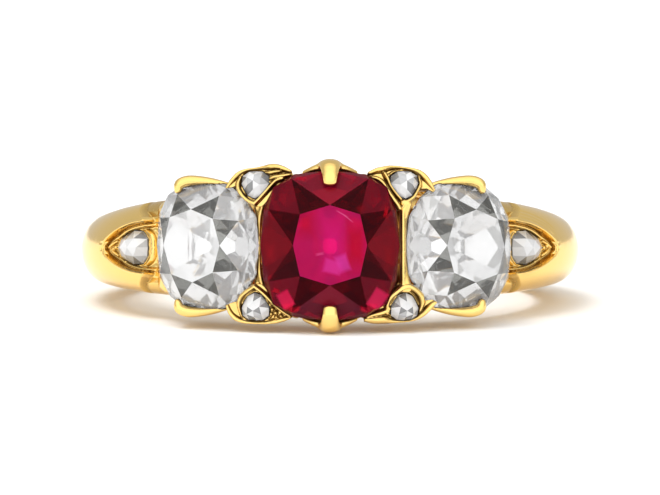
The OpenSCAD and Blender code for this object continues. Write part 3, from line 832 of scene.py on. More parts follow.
# Leaves round the small stones, in 24ths of a millimetre from the middle of the leaf's stone. x runs away
# from the ruby and y outwards along the finger. Each leaf was chased by hand, so no two are the same.
# ridges: rows of [x, y, height over the stone's girdle, half-width]; grains: [x, y, height, radius]
LEAF_UNIT = 1 / 24
LEAVES = {
    "leaf_left_upper": {
        "place": "head", "quarter": (-1, 1),
        "outline": [
            [-35.5, 14], [-28.5, 17.8], [-21.5, 20], [-15.5, 20.2], [-7.5, 18.4], [0.5, 17], [8.5, 16.2],
            [15, 14.6], [21.6, 10.4], [27.4, 3.4], [31, -4.5], [23.8, -3], [19.8, -1.5], [19.5, -5.5],
            [16.3, -11], [10.3, -16.8], [4, -21], [-0.8, -23.5], [-8, -23], [-14, -17], [-20, -10],
            [-26, -3], [-32, 2.5], [-38, 8],
        ],
        "ridges": [
            [[30, -4, -1, 1.6], [25, 3.6, 0.5, 2.6], [19, 9.8, 1.6, 2.9], [13.4, 13, 1.6, 1.8],
             [7, 14.7, 1.2, 1.2], [-0.7, 15.6, 1.4, 1.2], [-7.5, 16.6, 2.4, 1.7], [-13.5, 17, 4.2, 2.6],
             [-20.5, 17, 4.4, 2.6], [-27.5, 15.4, 3, 2], [-34.5, 12.8, 1, 1.2]],
            [[-9.5, 10.8, 1.6, 1.2], [-14.5, 10.9, 3, 1.5], [-19.5, 11.7, 3.2, 1.4], [-24, 12.3, 2.6, 1]],
            [[-14, 4.6, 1.5, 1.2], [-19, 6.4, 2.8, 1.6], [-26, 7.4, 2.6, 1.7], [-34, 9, 1, 1.2]],
            [[15, 6.4, 1.6, 1.2], [17.4, 0.4, 2.6, 1.9], [16.8, -5.8, 2.8, 2], [12.2, -12.4, 2.8, 1.8],
             [6.2, -17.8, 2.6, 1.6], [-0.4, -20.8, 2.6, 1.4]],
            [[-0.4, -20.8, 2.6, 1.4], [-5, -15.8, 2.2, 1.4], [-9.4, -10.2, 2, 1.5], [-12.8, -6, 2, 1.5],
             [-17, -1, 2, 1.5], [-21, 3, 2, 1.4], [-27, 5, 1.6, 1.2]],
            [[13, -2.6, -0.6, 0.8], [9.6, -9, -0.4, 0.8], [4.3, -14.4, -0.2, 0.8], [-0.6, -17, 0, 0.8]],
        ],
        "grains": [[-14.8, 1.4, 1.8, 1.5], [-12.8, -2.4, 1.4, 1.3], [-12.4, 7.6, 1.4, 1.3]],
    },
    "leaf_right_upper": {
        "place": "head", "quarter": (1, 1),
        "outline": [
            [-36, 12.4], [-27.7, 16.2], [-20.7, 17.4], [-14.7, 18.6], [-6.7, 19], [1.5, 17.8], [9, 16.6],
            [16.6, 14.4], [23, 9.6], [28, 2.8], [31.8, -5.6], [29.6, -8.4], [23.5, -4.6], [18, -4.6],
            [14.2, -8], [11, -13.4], [8.6, -17.8], [1, -21.6], [-1, -26.5], [-9, -27.5], [-14, -22],
            [-19, -14], [-23, -7], [-27, -2], [-33, 2], [-39, 6],
        ],
        "ridges": [
            [[-35.2, 10.8, 1, 1.4], [-28, 13.8, 2.6, 2.1], [-21, 15, 3.6, 2.4], [-14.7, 16.7, 2.6, 1.7],
             [-6.7, 17, 1.4, 1.2], [1.3, 16.1, 1.2, 1.2], [8.6, 14.8, 1.6, 1.7], [16, 11.6, 2.8, 2.7],
             [22.4, 6.2, 2.4, 2.9], [27.4, -0.8, 0.8, 2.3], [30.2, -6, -1, 1.3]],
            [[-33, 6.4, 0.6, 1.3], [-27, 4.6, 1.8, 1.8], [-22.4, 0.4, 2.8, 2], [-18.8, -6.4, 3.2, 2.1],
             [-14.4, -13.9, 3.2, 2], [-9.4, -21, 2.8, 1.8], [-6.4, -26, 1.8, 1.6]],
            [[-20, 10.6, 2, 1.1], [-17.2, 4.6, 2.8, 1.3], [-14.9, -2.4, 2.8, 1.2], [-10.4, -9.8, 2.6, 1.2],
             [-5, -16.2, 2, 1.1]],
            [[14.6, 6.6, 1.2, 1], [15.6, -0.6, 2, 1.4], [12, -7.8, 2.2, 1.4], [7.6, -14.2, 2, 1.3],
             [0, -19.4, 2, 1.4], [-3.6, -24, 1.6, 1.3]],
        ],
        "grains": [[-15.6, 8.4, 1.8, 1.4], [14.2, 3, 1.2, 1.1]],
    },
    "leaf_left_lower": {
        "place": "head", "quarter": (-1, -1),
        "outline": [
            [-35.5, 11], [-28.7, 14.6], [-20.7, 16.2], [-7.7, 17.2], [4.3, 17], [15, 16], [23.2, 13],
            [28.6, 6], [30.8, -2.6], [25, -5], [18.6, -6.6], [16.5, -12.4], [10.3, -17.9], [3.3, -22.4],
            [-0.7, -24.5], [-8, -23.5], [-14, -17.5], [-21, -10], [-28, -2], [-34, 4], [-38, 9],
        ],
        "ridges": [
            [[29.2, -3, 0, 1.5], [26.6, 4.8, 0.8, 2.3], [21, 11, 1.2, 2.5], [12.6, 14.2, 1.2, 1.9],
             [2.3, 15.2, 1, 1.5], [-7.7, 15.4, 1, 1.7], [-17.7, 14.2, 1.8, 2.3], [-26.7, 12.2, 1.4, 1.9],
             [-34.5, 10.2, 0.2, 1]],
            [[14.4, 8, 0.8, 1.1], [16.1, 0.6, 2, 1.3], [16.1, -6.6, 2.8, 1.7], [12.9, -12.8, 3, 1.8],
             [6.8, -17.8, 2.8, 1.6], [-0.3, -22.2, 2.4, 1.2]],
            [[-0.3, -22.2, 2.4, 1.2], [-6.4, -17.4, 2.2, 1.3], [-13.4, -10.4, 2.2, 1.4],
             [-20.4, -3.2, 2.2, 1.5], [-27.6, 3.4, 1.8, 1.5], [-34, 8, 0.8, 1.2]],
            [[12.6, -3.8, -0.4, 0.8], [10, -9.6, -0.2, 0.8], [5.4, -13.8, 0, 0.8], [0.4, -16.8, 0, 0.8]],
        ],
        "grains": [[-15.2, -3.4, 1.6, 1.6], [-17, 1.4, 1.8, 1.6], [-15.6, 6, 1.6, 1.5], [-20.2, 5, 1.8, 1.6],
                   [-20.6, 9.4, 1.6, 1.5], [-25.4, 8.4, 1.4, 1.3], [-13.2, 9.8, 1, 1.2]],
    },
    "leaf_right_lower": {
        "place": "head", "quarter": (1, -1),
        "outline": [
            [-40, 15], [-31, 17], [-18.7, 17.2], [-8.7, 16.2], [1.3, 15], [11.6, 13.4], [20, 9],
            [27.4, 2], [33.6, -5.6], [28.3, -8.4], [20.8, -7], [19, -14], [11.4, -21], [4, -24.6],
            [-5, -25], [-13, -19.5], [-20, -12], [-25, -5], [-29, -1], [-35, 4], [-41, 8],
        ],
        "ridges": [
            [[-38.5, 12, 1.4, 2.6], [-30, 12.2, 3, 4.2], [-20.5, 12, 3.4, 4], [-11, 13.6, 1.6, 2],
             [-1.7, 13.6, 1, 1.3], [7.6, 12.4, 1.2, 1.5], [15.8, 8.6, 2.4, 2.5], [23, 2.4, 2.8, 2.8],
             [29, -3.8, 1.6, 2.2], [32.4, -6.2, 0.4, 1.2]],
            [[-16, 4, 1.2, 1.7], [-18, -3.8, 2.4, 2.3], [-15, -11.4, 3.2, 2.5], [-8.6, -17, 3.4, 2.1],
             [-2.2, -21.2, 3.4, 2.1], [4.2, -21.8, 3.4, 2.4], [11, -18, 3.6, 2.7], [16, -12, 3.4, 2.7],
             [17.6, -4.8, 2.6, 2.1], [15.6, 2.4, 1.8, 1.5]],
            [[-18, 3, 2, 2], [-24, 5.4, 2.2, 2.6], [-31, 7, 1.8, 2.4], [-37, 9, 1, 1.8]],
        ],
        "grains": [[-16, 0.6, 2.4, 1.9], [-17.4, 5, 2.6, 1.9], [-13.6, 7.4, 1.4, 1.4]],
    },
}
# Setting in the V cut of a shoulder, the same way: x runs along the shoulder, away from the head
SHOULDER_OUTLINE = [
    [43, 0], [40.5, 6], [35, 11.5], [24, 18], [12, 23], [-4, 27.5], [-20, 30.5], [-34, 32], [-34, -32],
    [-20, -30.5], [-4, -27.5], [12, -23], [24, -18], [35, -11.5], [40.5, -6],
]
# It covers the shank's own shoulder by this much
SHOULDER_SKIN = 0.006
SHOULDER_RIDGES = [
    [[-17, 17, 0.6, 1.4], [-24, 12.5, 2, 2.4], [-27.4, 5, 2.8, 3.2], [-27.8, -3, 2.8, 3.2],
     [-25, -11, 2.2, 2.6], [-17.5, -17, 0.6, 1.4]],
    [[21, 10.4, 1, 1.1], [10, 16, 2, 1.4], [-4, 20, 2.6, 1.5], [-18, 22, 2.4, 1.5], [-30, 22.6, 1.4, 1.2]],
    [[20, -11, 0.6, 1], [9, -16.6, 1.2, 1.2], [-5, -20.4, 1.6, 1.3], [-19, -22, 1.4, 1.3],
     [-30, -22.6, 1, 1.1]],
    [[35, 0.6, 1.6, 1.3], [30, 4, 1.6, 1.2], [24.5, 6.4, 0.8, 1]],
    [[33, -1.6, 1.2, 1.1], [28.5, -4.8, 1.4, 1.2], [23.5, -7.6, 0.6, 1]],
]
SETTINGS = {
    "shoulder_setting_left": {
        "place": "shoulder", "quarter": (-1, 1), "outline": SHOULDER_OUTLINE, "ridges": SHOULDER_RIDGES,
        "grains": [[26, 0.4, 1.6, 1.9], [30, -0.6, 0.8, 1.3], [12, -13.8, 0.8, 1.2], [13, 13.6, 0.8, 1.2]],
    },
    "shoulder_setting_right": {
        "place": "shoulder", "quarter": (1, 1), "outline": SHOULDER_OUTLINE, "ridges": SHOULDER_RIDGES,
        "grains": [[25.6, 0, 1.8, 1.8], [30.4, 1, 0.8, 1.2], [-15, 15.4, 1.6, 1.8], [13, -13.8, 0.8, 1.2]],
    },
}
# Plate of a leaf or setting under its ridges: heights in the same units, and how much it widens downwards
LEAF_PLATE = {"top": -2.6, "foot": -11.0, "flare": 0.25}
# Thin collar of a small stone: [half-length, half-width, degrees that its point is turned]
COLLARS = {"head": [15.3, 15.3, -90], "shoulder": [21.5, 17.3, 0]}
COLLAR_HEIGHT, COLLAR_HALF, COLLAR_POINT = -0.9, 0.9, 0.1
# Room over the stone's girdle for the tallest metal, in millimetres
HEADROOM = {"head": 0.3, "shoulder": 0.8}
# How strong the painted shade and patina of the recesses are, in the head's leaves and in the shoulders'
# settings
SHADE_AND_PATINA = {"head": 1.4, "shoulder": 0.65}
# How steeply a ridge or grain falls away beside its top
RIDGE_SLOPE = 0.95


def about_x(degrees):
    """A turn about X."""
    a = math.radians(degrees)
    return np.array([[1, 0, 0], [0, math.cos(a), -math.sin(a)], [0, math.sin(a), math.cos(a)]])


def about_y(degrees):
    """A turn about Y."""
    a = math.radians(degrees)
    return np.array([[math.cos(a), 0, math.sin(a)], [0, 1, 0], [-math.sin(a), 0, math.cos(a)]])


def leaf_turn(leaf):
    """Axes of a leaf in its quarter of the head, or of a shoulder's setting, as seen on the right."""
    if leaf["place"] == "shoulder":
        return about_y(SHOULDER_ANGLE - SHOULDER_ROSE["tip"])
    return about_y(BETWEEN["across"]) @ about_x(-BETWEEN["along"])


def leaf_spot(leaf, bore):
    """Middle of a leaf's small stone, as seen on the right."""
    if leaf["place"] == "shoulder":
        a, high = math.radians(SHOULDER_ANGLE), bore + SHOULDER_ROSE["rise"]
        along, sin, cos = SHOULDER_ROSE["along"], math.sin(a), math.cos(a)
        return np.array([high * sin + along * cos, 0, high * cos - along * sin])
    return np.array(BETWEEN["spot"]) + [0, 0, bore]


def in_quarter(rows, quarter):
    """Rows of the right upper quarter, moved to another one."""
    rows = np.array(rows, float)
    rows[:, 0] *= quarter[0]
    rows[:, 1] *= quarter[1]
    return rows


def over_finger(rows, bore):
    """Rows with heights over the finger, as upright millimetres."""
    rows = np.array(rows, float)
    rows[:, 2] += bore
    return rows


def turned(direction, quarter):
    """A direction of the right upper quarter, in another one."""
    return np.array([direction[0] * quarter[0], direction[1] * quarter[1], direction[2]])


def ridge_height(x, y, rows):
    """Height of a rounded ridge along rows of [x, y, height, half-width]."""
    path = smooth_rows(rows, 4)
    top = np.full(np.broadcast(x, y).shape, -99.0)
    for a, b in zip(path[:-1], path[1:]):
        run = b[:2] - a[:2]
        t = np.clip(((x - a[0]) * run[0] + (y - a[1]) * run[1]) / max(run @ run, 1e-9), 0, 1)
        away = (x - a[0] - run[0] * t) ** 2 + (y - a[1] - run[1] * t) ** 2
        top = np.maximum(top, a[2] + (b[2] - a[2]) * t - RIDGE_SLOPE * away / (a[3] + (b[3] - a[3]) * t))
    return top


def leaf_height(x, y, leaf):
    """Height of a leaf's upper side over its stone's girdle, in the leaf's units."""
    top = np.full(np.broadcast(x, y).shape, LEAF_PLATE["top"])
    for rows in leaf["ridges"]:
        top = np.maximum(top, ridge_height(x, y, rows))
    for gx, gy, high, radius in leaf["grains"]:
        top = np.maximum(top, high - ((x - gx) ** 2 + (y - gy) ** 2) / radius * RIDGE_SLOPE)
    long, wide, point = COLLARS[leaf["place"]]
    turn = np.arctan2(y / wide, x / long) - math.radians(point)
    pointed = 1 + COLLAR_POINT * np.cos(3 * turn)
    reach = (np.hypot(x / long, y / wide) / pointed - 1) * (long + wide) / 2
    collar = COLLAR_HEIGHT - RIDGE_SLOPE * reach ** 2 / COLLAR_HALF
    return np.maximum(top, collar) + 0.12 * ripple(x, y, 2.2)


def shoulder_surface(x, y, leaf, ring, bore):
    """Height of the carved shoulder over its small stone's girdle, in millimetres.

    The setting lies tilted, so the height is found in rounds, each from the place of the last one.
    """
    turn, spot, rows = leaf_turn(leaf), leaf_spot(leaf, bore), shank_rows(ring.shank)
    middle = bore + SHOULDER_ROSE["rise"]
    z = 0.1 + 0 * x + 0 * y
    for _ in range(12):
        px = x * turn[0, 0] + z * turn[0, 2] + spot[0]
        pz = x * turn[2, 0] + z * turn[2, 2] + spot[2]
        angle = np.degrees(np.arctan2(px, pz))
        along = np.radians(angle - SHOULDER_ANGLE) * middle
        carved = shoulder_relief(along, y, dome_rise(angle, y, rows), leaf["quarter"][0], ring.shank)
        z = z + 0.9 * (bore + carved - np.hypot(px, pz))
    return z + SHOULDER_SKIN


def leaf_metal(leaf, ring, bore):
    """A leaf on a grid of its own, that lies as the leaf does. Millimetres from its stone's middle."""
    sizes = ring.head
    outline = np.array(leaf["outline"], float) * LEAF_UNIT
    foot = LEAF_PLATE["foot"] * LEAF_UNIT
    low, high = outline.min(0) - 0.1, outline.max(0) + 0.1
    metal = Metal([*low, foot - 0.1], [*high, HEADROOM[leaf["place"]]], sizes.leaf_grain * 1000)
    part, x, y, z = metal.window([-9, -9, -9], [9, 9, 9], 0)
    top = leaf_height(x / LEAF_UNIT, y / LEAF_UNIT, leaf) * LEAF_UNIT
    edge = outline_distance(x, y, outline)
    if leaf["place"] == "shoulder":
        top = np.maximum(top, shoulder_surface(x, y, leaf, ring, bore)) - 0.03 * ramp(1 + edge / 0.06)
    wall = edge + LEAF_PLATE["flare"] * np.clip(-0.1 - z, 0, None)
    metal.join(part, foot - z + 0 * x + 0 * y, 0.001)
    metal.field[part] = np.maximum(metal.field[part], (z - top) * 0.6)
    metal.cut(part, -wall, 0.04)
    turn, quarter = leaf_turn(leaf), np.array([*leaf["quarter"], 1])
    spot = leaf_spot(leaf, bore)
    for node in leaf_stones(leaf):
        planes = []
        for *normal, reach in stone_facets(node)[0]:
            seen = np.array(normal) * quarter
            planes.append([*(turn.T @ seen), reach - seen @ spot])
        metal.seat(planes, metal.low, -metal.low, sizes.seat_gap * 1000)
    return metal


def leaf_stones(leaf):
    """The stones that a leaf or setting lies against."""
    side = "left" if leaf["quarter"][0] < 0 else "right"
    if leaf["place"] == "shoulder":
        return f"diamond_{side}", f"rose_{side}_shoulder"
    level = "lower" if leaf["quarter"][1] < 0 else "upper"
    return "ruby", f"diamond_{side}", f"rose_{side}_{level}"


def leaf_in_place(points, leaf, bore):
    """A leaf's own millimetres to upright millimetres."""
    return (points @ leaf_turn(leaf).T + leaf_spot(leaf, bore)) * [*leaf["quarter"], 1]


def add_leaves(leaves, ring):
    """Adds each leaf or setting of a table as a piece of its own."""
    bore = ring.shank.bore_radius * 1000
    for name, leaf in leaves.items():
        metal = leaf_metal(leaf, ring, bore)
        points, quads = metal.skin()
        if leaf["quarter"][0] * leaf["quarter"][1] < 0:
            quads = quads[:, ::-1]
        # Painted shade and patina, strongest in the head's leaves
        shade = metal.painted_shade_and_patina(points) * SHADE_AND_PATINA[leaf["place"]]
        dress_gold(new_piece(name, leaf_in_place(points, leaf, bore), quads, shade), ring.gold)


def add_ruby_claw(metal, way, head, bore):
    """The ruby's claw on one side of the head, and the peaked rim beside it."""
    rows = [[x, head / 2 - inwards, *rest] for x, inwards, *rest in RUBY_CLAW]
    metal.bar(in_quarter(over_finger(rows, bore), (1, way)), [1, 0, 0], blend=0.1)
    metal.bar(in_quarter(over_finger(RUBY_PEAKS, bore), (1, way)), [0, 1, 0], blend=0.1)


def add_bridge(metal, side, bore):
    """The bridge between the ruby and a diamond, with the rib that shows between the stones."""
    bridge = BRIDGES[side]
    at, gap, foot, top = (bridge[key] for key in ("at", "gap", "foot", "top"))
    rows = [[side * at, y, (top + foot) / 2 + 0.06 * math.cos(y), 0.36 + gap / 3, (top - foot) * 1.1]
            for y in (-1.6, -0.9, 0, 0.9, 1.6)]
    metal.bar(over_finger(rows, bore), [1, 0, 0], blend=0.08)
    rib = [[side * (at + bow), y, top + lift, (gap + 0.08) * wide, 0.3] for y, bow, lift, wide in BRIDGE_RIB]
    metal.bar(over_finger(rib, bore), [1, 0, 0], blend=0.05)


def stone_facets(node):
    """Planes of a stone's facets and its box, in upright millimetres."""
    mesh = frame["nodes"][node].data
    points = stand_up([v.co for v in mesh.vertices])
    middle = points.mean(0)
    planes = set()
    for face in mesh.polygons:
        a, b, c = (points[i] for i in face.vertices[:3])
        n = np.cross(b - a, c - a)
        size = np.linalg.norm(n)
        if size < 1e-6:
            continue
        n = n / size
        if n.dot(a - middle) < 0:
            n = -n
        planes.add(tuple(np.round([*n, n.dot(a)], 3)))
    return sorted(planes), points.min(0), points.max(0)


def cut_seats(metal, gap):
    """Makes room for every stone."""
    for node in STONES:
        planes, low, high = stone_facets(node)
        metal.seat(planes, low, high, gap)


def head_grid(grid, width, grain, bore):
    """An empty grid round the head."""
    half = width * 500 + grid["spare"]
    low = [-grid["reach"], -half, bore - grid["below"]]
    return Metal(low, [grid["reach"], half, bore + grid["above"]], grain * 1000)


def claw_metal(sizes, bore):
    """Claws, rails and bridges that hold the large stones."""
    metal = head_grid(CLAW_GRID, sizes.width, sizes.carving_grain, bore)
    for side in (-1, 1):
        add_bridge(metal, side, bore)
        add_ruby_claw(metal, side, sizes.width * 1000, bore)
    for quarter in QUARTERS:
        for rows, across in HOLDING_BARS:
            metal.bar(in_quarter(over_finger(rows, bore), quarter), turned(across, quarter))
    cut_seats(metal, sizes.seat_gap * 1000)
    return metal


def gallery_metal(sizes, bore):
    """Plate, arches, stems and scrolls under the stones, and the bars that end the head."""
    metal = head_grid(GALLERY_GRID, sizes.width, sizes.gallery_grain, bore)
    add_plate(metal, bore)
    for quarter in QUARTERS:
        for rows, across in GALLERY_BARS:
            metal.bar(in_quarter(over_finger(rows, bore), quarter), turned(across, quarter), blend=0.15)
    for side in (-1, 1):
        rows = [[side * END_BAR_AT, *rest] for rest in END_BAR]
        metal.bar(over_finger(rows, bore), [side, 0, 0.45], blend=0.12)
    part, x, y, z = metal.window([-7.6, -4, bore - 3], [7.6, 4, bore + 3], 0)
    metal.cut(part, np.hypot(x, z) - bore - 0.01 + 0 * y, 0.02)
    cut_seats(metal, sizes.seat_gap * 1000)
    return metal


def add_plate(metal, bore):
    """The plate that lies on the finger, with a window under each large stone."""
    thick, end, round_off = PLATE["thick"], PLATE["end"], PLATE["round"]
    part, x, y, z = metal.window([-7.6, -2.4, bore - 3], [7.6, 2.4, bore + 1], 0)
    r = np.hypot(x, z)
    angle = np.degrees(np.arctan2(x, z))
    wide = PLATE["half"] - PLATE["narrower"] * np.abs(angle / end) ** 3
    d_r = np.abs(r - bore - thick / 2) - thick / 2 + round_off
    d_y = np.abs(y) - wide + round_off
    d_a = (np.abs(angle) - end) * math.pi / 180 * bore + round_off
    box = np.maximum(np.maximum(d_r + 0 * y, d_y), d_a + 0 * y)
    outside = np.sqrt(np.clip(d_r, 0, None) ** 2 + np.clip(d_y, 0, None) ** 2 + np.clip(d_a, 0, None) ** 2)
    metal.join(part, np.where(box > 0, outside, box) - round_off, 0.1)
    for place in WINDOWS["angles"]:
        way = np.array([math.sin(math.radians(place)), 0, math.cos(math.radians(place))])
        along = x * way[0] + z * way[2]
        away = np.sqrt((x - along * way[0]) ** 2 + y * y + (z - along * way[2]) ** 2) - WINDOWS["radius"]
        metal.cut(part, away, 0.1)


# Finishes

STONES = (
    "ruby", "diamond_left", "diamond_right",
    "rose_left_upper", "rose_left_lower", "rose_right_upper", "rose_right_lower",
    "rose_left_shoulder", "rose_right_shoulder",
)


class Nodes:
    """A node tree and short ways to add to it. They take sockets or plain values, and return a socket."""

    def __init__(self, tree):
        self.tree = tree
        tree.nodes.clear()

    def add(self, kind, **choices):
        """A new node with its choices made."""
        node = self.tree.nodes.new(kind)
        for name, choice in choices.items():
            setattr(node, name, choice)
        return node

    def feed(self, node, values):
        """Links or sets a node's inputs, each by its name or place."""
        for key, value in values.items():
            if isinstance(value, bpy.types.NodeSocket):
                self.tree.links.new(value, node.inputs[key])
            else:
                node.inputs[key].default_value = value
        return node

    def noise(self, place, scale, detail=2.0, rough=0.5):
        node = self.add("ShaderNodeTexNoise")
        self.feed(node, {"Vector": place, "Scale": scale, "Detail": detail, "Roughness": rough})
        return node.outputs["Fac"]

    def mapped(self, value, low, high, to_low, to_high):
        """A value between low and high, moved to between to_low and to_high."""
        node = self.add("ShaderNodeMapRange")
        self.feed(node, {"Value": value, "From Min": low, "From Max": high, "To Min": to_low,
                         "To Max": to_high})
        return node.outputs["Result"]

    def combined(self, how, a, b):
        return self.feed(self.add("ShaderNodeMath", operation=how), {0: a, 1: b}).outputs["Value"]

    def both(self, a, b):
        """1 where a and b are both 1, and less where either is less."""
        return self.combined("MULTIPLY", a, b)

    def blended(self, how, factor, a, b):
        node = self.add("ShaderNodeMix", data_type="RGBA", blend_type=how)
        return self.feed(node, {"Factor": factor, "A": a, "B": b}).outputs["Result"]

    def dot(self, vector, direction):
        """How far a vector goes in a direction."""
        node = self.add("ShaderNodeVectorMath", operation="DOT_PRODUCT")
        return self.feed(node, {0: vector, 1: tuple(float(d) for d in direction)}).outputs["Value"]

    def steps(self, value, rows):
        """A colour for each band of value: rows are [where the band begins, colour]."""
        node = self.add("ShaderNodeValToRGB")
        node.color_ramp.interpolation = "CONSTANT"
        bands = node.color_ramp.elements
        for i, (start, colour) in enumerate(rows):
            band = bands[i] if i < 2 else bands.new(start)
            band.position = start
            band.color = (*colour, 1)
        return self.feed(node, {"Fac": value}).outputs["Color"]


def new_material(name):
    """A material, its nodes, its shader and its output."""
    material = bpy.data.materials.new(name)
    material.use_nodes = True
    nodes = Nodes(material.node_tree)
    output = nodes.add("ShaderNodeOutputMaterial")
    surface = nodes.add("ShaderNodeBsdfPrincipled")
    nodes.feed(output, {"Surface": surface.outputs["BSDF"]})
    return material, nodes, surface, output


def grey(level):
    return (level, level, level)


# Textures of the gold: patches to the metre and levels of detail
GOLD_CLOUDS, GOLD_WEAR, GOLD_DENTS, GOLD_SCRATCHES = (900, 3), (2600, 4, 0.6), (700, 2), (3500, 2)
# How much the scratches are drawn out, and how high they are against the dents
SCRATCH_STRETCH, SCRATCH_SHARE = (1, 6, 6), 0.25
# Strength and height of the dents, in metres, and the roughness in the recesses
DENTS = {"Strength": 0.22, "Distance": 0.00003}
RECESS_ROUGHNESS = 0.42


def gold_material(finish):
    """Old polished gold: bright where it is rubbed, brown in the cuts with painted shade and patina, with
    fine scratches.
    """
    material, nodes, surface, _ = new_material("old_gold")
    place = nodes.add("ShaderNodeTexCoord").outputs["Object"]
    painted_shade_and_patina = nodes.add("ShaderNodeAttribute", attribute_name="painted_shade_and_patina").outputs["Fac"]
    clouds = nodes.mapped(nodes.noise(place, *GOLD_CLOUDS), 0.3, 0.7, 0.75, 1.1)
    # Painted shade and patina: the gold turns to its deep colour in the recesses, in uneven clouds
    shade_and_patina_share = nodes.combined("MULTIPLY", painted_shade_and_patina, clouds)
    colour = nodes.blended("MIX", shade_and_patina_share, (*finish.bright, 1), (*finish.deep, 1))
    wear = nodes.mapped(nodes.noise(place, *GOLD_WEAR), 0.35, 0.7, -0.04, 0.09)
    rough = nodes.combined("ADD", wear, nodes.mapped(shade_and_patina_share, 0, 1, finish.roughness, RECESS_ROUGHNESS))
    stretched = nodes.feed(nodes.add("ShaderNodeMapping"), {"Vector": place, "Scale": SCRATCH_STRETCH})
    scratches = nodes.noise(stretched.outputs["Vector"], *GOLD_SCRATCHES)
    scratches = nodes.combined("MULTIPLY", scratches, SCRATCH_SHARE)
    height = nodes.combined("ADD", scratches, nodes.noise(place, *GOLD_DENTS))
    bump = nodes.feed(nodes.add("ShaderNodeBump"), {**DENTS, "Height": height})
    nodes.feed(surface, {"Base Color": colour, "Metallic": 1.0, "Roughness": rough,
                         "Normal": bump.outputs["Normal"]})
    return material


# How closely facets face the same way as the table, from 0 to 1: the table itself, and from where on they
# are star facets
TABLE_FACING = 0.93
RUBY_STAR_FACING, DIAMOND_STAR_FACING = 0.835, 0.79
# Colours of the facets that face that closely, painted light and shade in a crown: [from where on, colour or
# grey]
DIAMOND_CROWN = [(0, 0.66), (0.2, 0.76), (0.68, 0.95)]
ROSE_CROWN = [(0, 0.84), (0.5, 0.93)]
RUBY_GIRDLE_FACETS = (0.16, 0.003, 0.01)
RUBY_PAVILION = [(0, (1, 0.35, 0.55)), (TABLE_FACING, (1, 0.4, 0.6))]
# Main facets that lean one way have a colour of their own, painted light and shade: [x, y, least lean,
# colour]
RUBY_LEANS = [
    (0, 1, 0.52, (0.26, 0.008, 0.03)),
    (0, -1, 0.52, (0.19, 0.016, 0.04)),
    (-1, 0, 0.52, (0.26, 0.01, 0.022)),
    (1, 0, 0.52, (0.27, 0.012, 0.025)),
    (0.6, -0.6, 0.4, (0.2, 0.004, 0.02)),
    (-0.6, -0.6, 0.4, (0.22, 0.004, 0.02)),
]
# Painted lights seen through the table: [x, y, half-width, half-height, degrees turned, soft share of
# the edge, colour and strength], in millimetres from the stone's middle
RUBY_LIGHTS = [
    (1.05, 0.0, 0.5, 1.3, 0, 0.7, (0.66, 0.005, 0.025, 0.75)),
    (-1.0, 0.9, 0.5, 0.8, 0, 0.8, (0.6, 0.006, 0.035, 0.7)),
    (0.1, 0.1, 0.62, 1.5, 0, 0.8, (0.8, 0.014, 0.24, 0.7)),
    (0.1, -0.88, 0.42, 0.33, -14, 0.4, (0.9, 0.05, 0.42, 0.75)),
    (0.52, -0.74, 0.3, 0.42, 20, 0.45, (0.9, 0.06, 0.48, 0.7)),
    (-0.42, -0.36, 0.2, 0.07, 12, 0.6, (1.0, 0.1, 0.36, 0.6)),
    (0.5, 1.28, 0.32, 0.035, -30, 0.6, (1.0, 0.16, 0.45, 0.55)),
    (0.74, 1.1, 0.3, 0.03, -38, 0.6, (1.0, 0.16, 0.45, 0.5)),
]
# Painted glints the same way, seen through the facets round the table
RUBY_GLINTS = [
    (-1.82, -2.22, 0.3, 0.4, 28, 0.3, (1.0, 0.02, 0.12, 0.95)),
    (-2.2, -1.86, 0.2, 0.12, -20, 0.6, (0.7, 0.004, 0.03, 0.6)),
    (-1.42, -2.62, 0.26, 0.12, 10, 0.6, (0.6, 0.004, 0.03, 0.6)),
    (1.95, -2.2, 0.34, 0.46, -32, 0.3, (1.0, 0.025, 0.14, 0.95)),
    (1.42, -2.62, 0.22, 0.12, -12, 0.6, (0.7, 0.006, 0.05, 0.6)),
    (2.3, 1.4, 0.1, 0.3, -10, 0.6, (0.8, 0.004, 0.02, 0.7)),
    (1.3, 1.5, 0.25, 0.2, 30, 0.8, (0.45, 0.004, 0.02, 0.6)),
    (-2.45, -0.3, 0.25, 0.5, 0, 0.9, (0.5, 0.012, 0.03, 0.6)),
    (2.4, -0.5, 0.25, 0.6, 0, 0.9, (0.42, 0.01, 0.02, 0.6)),
    (-1.2, 2.75, 0.3, 0.12, -12, 0.7, (0.7, 0.004, 0.03, 0.7)),
    (0.9, 2.6, 0.35, 0.14, 15, 0.8, (0.35, 0.003, 0.02, 0.6)),
]
# Tint of the ruby's shine, and how the light is taken up inside it
RUBY_SHINE = (0.06, 0.02, 0.02, 1)
RUBY_INSIDE = {"Color": (0.96, 0.1, 0.45, 1), "Density": 150}
# Roughness of the polished facets
RUBY_POLISH, DIAMOND_POLISH = 0.02, 0.03
# Faint streaks inside a stone: patches to the metre and levels of detail
STREAKS = (900, 2)
# Painted light and shade that chance gives the facets: [share of the facets below it, grey]
FACET_TONES = [(0, grey(0.0)), (0.18, grey(0.45)), (0.4, grey(0.8)), (0.62, grey(1.0))]


def facet_tone(nodes, facing, variety):
    """Painted light and shade by chance for each facet, the same for its mirror images, from 1 - variety to
    1.
    """
    same = nodes.feed(nodes.add("ShaderNodeVectorMath", operation="ABSOLUTE"), {0: facing})
    rounded = nodes.add("ShaderNodeVectorMath", operation="SNAP")
    nodes.feed(rounded, {0: same.outputs["Vector"], 1: (0.05, 0.05, 0.05)})
    chance = nodes.feed(nodes.add("ShaderNodeTexWhiteNoise"), {"Vector": rounded.outputs["Vector"]})
    return nodes.mapped(nodes.steps(chance.outputs["Value"], FACET_TONES), 0, 1, 1 - variety, 1)


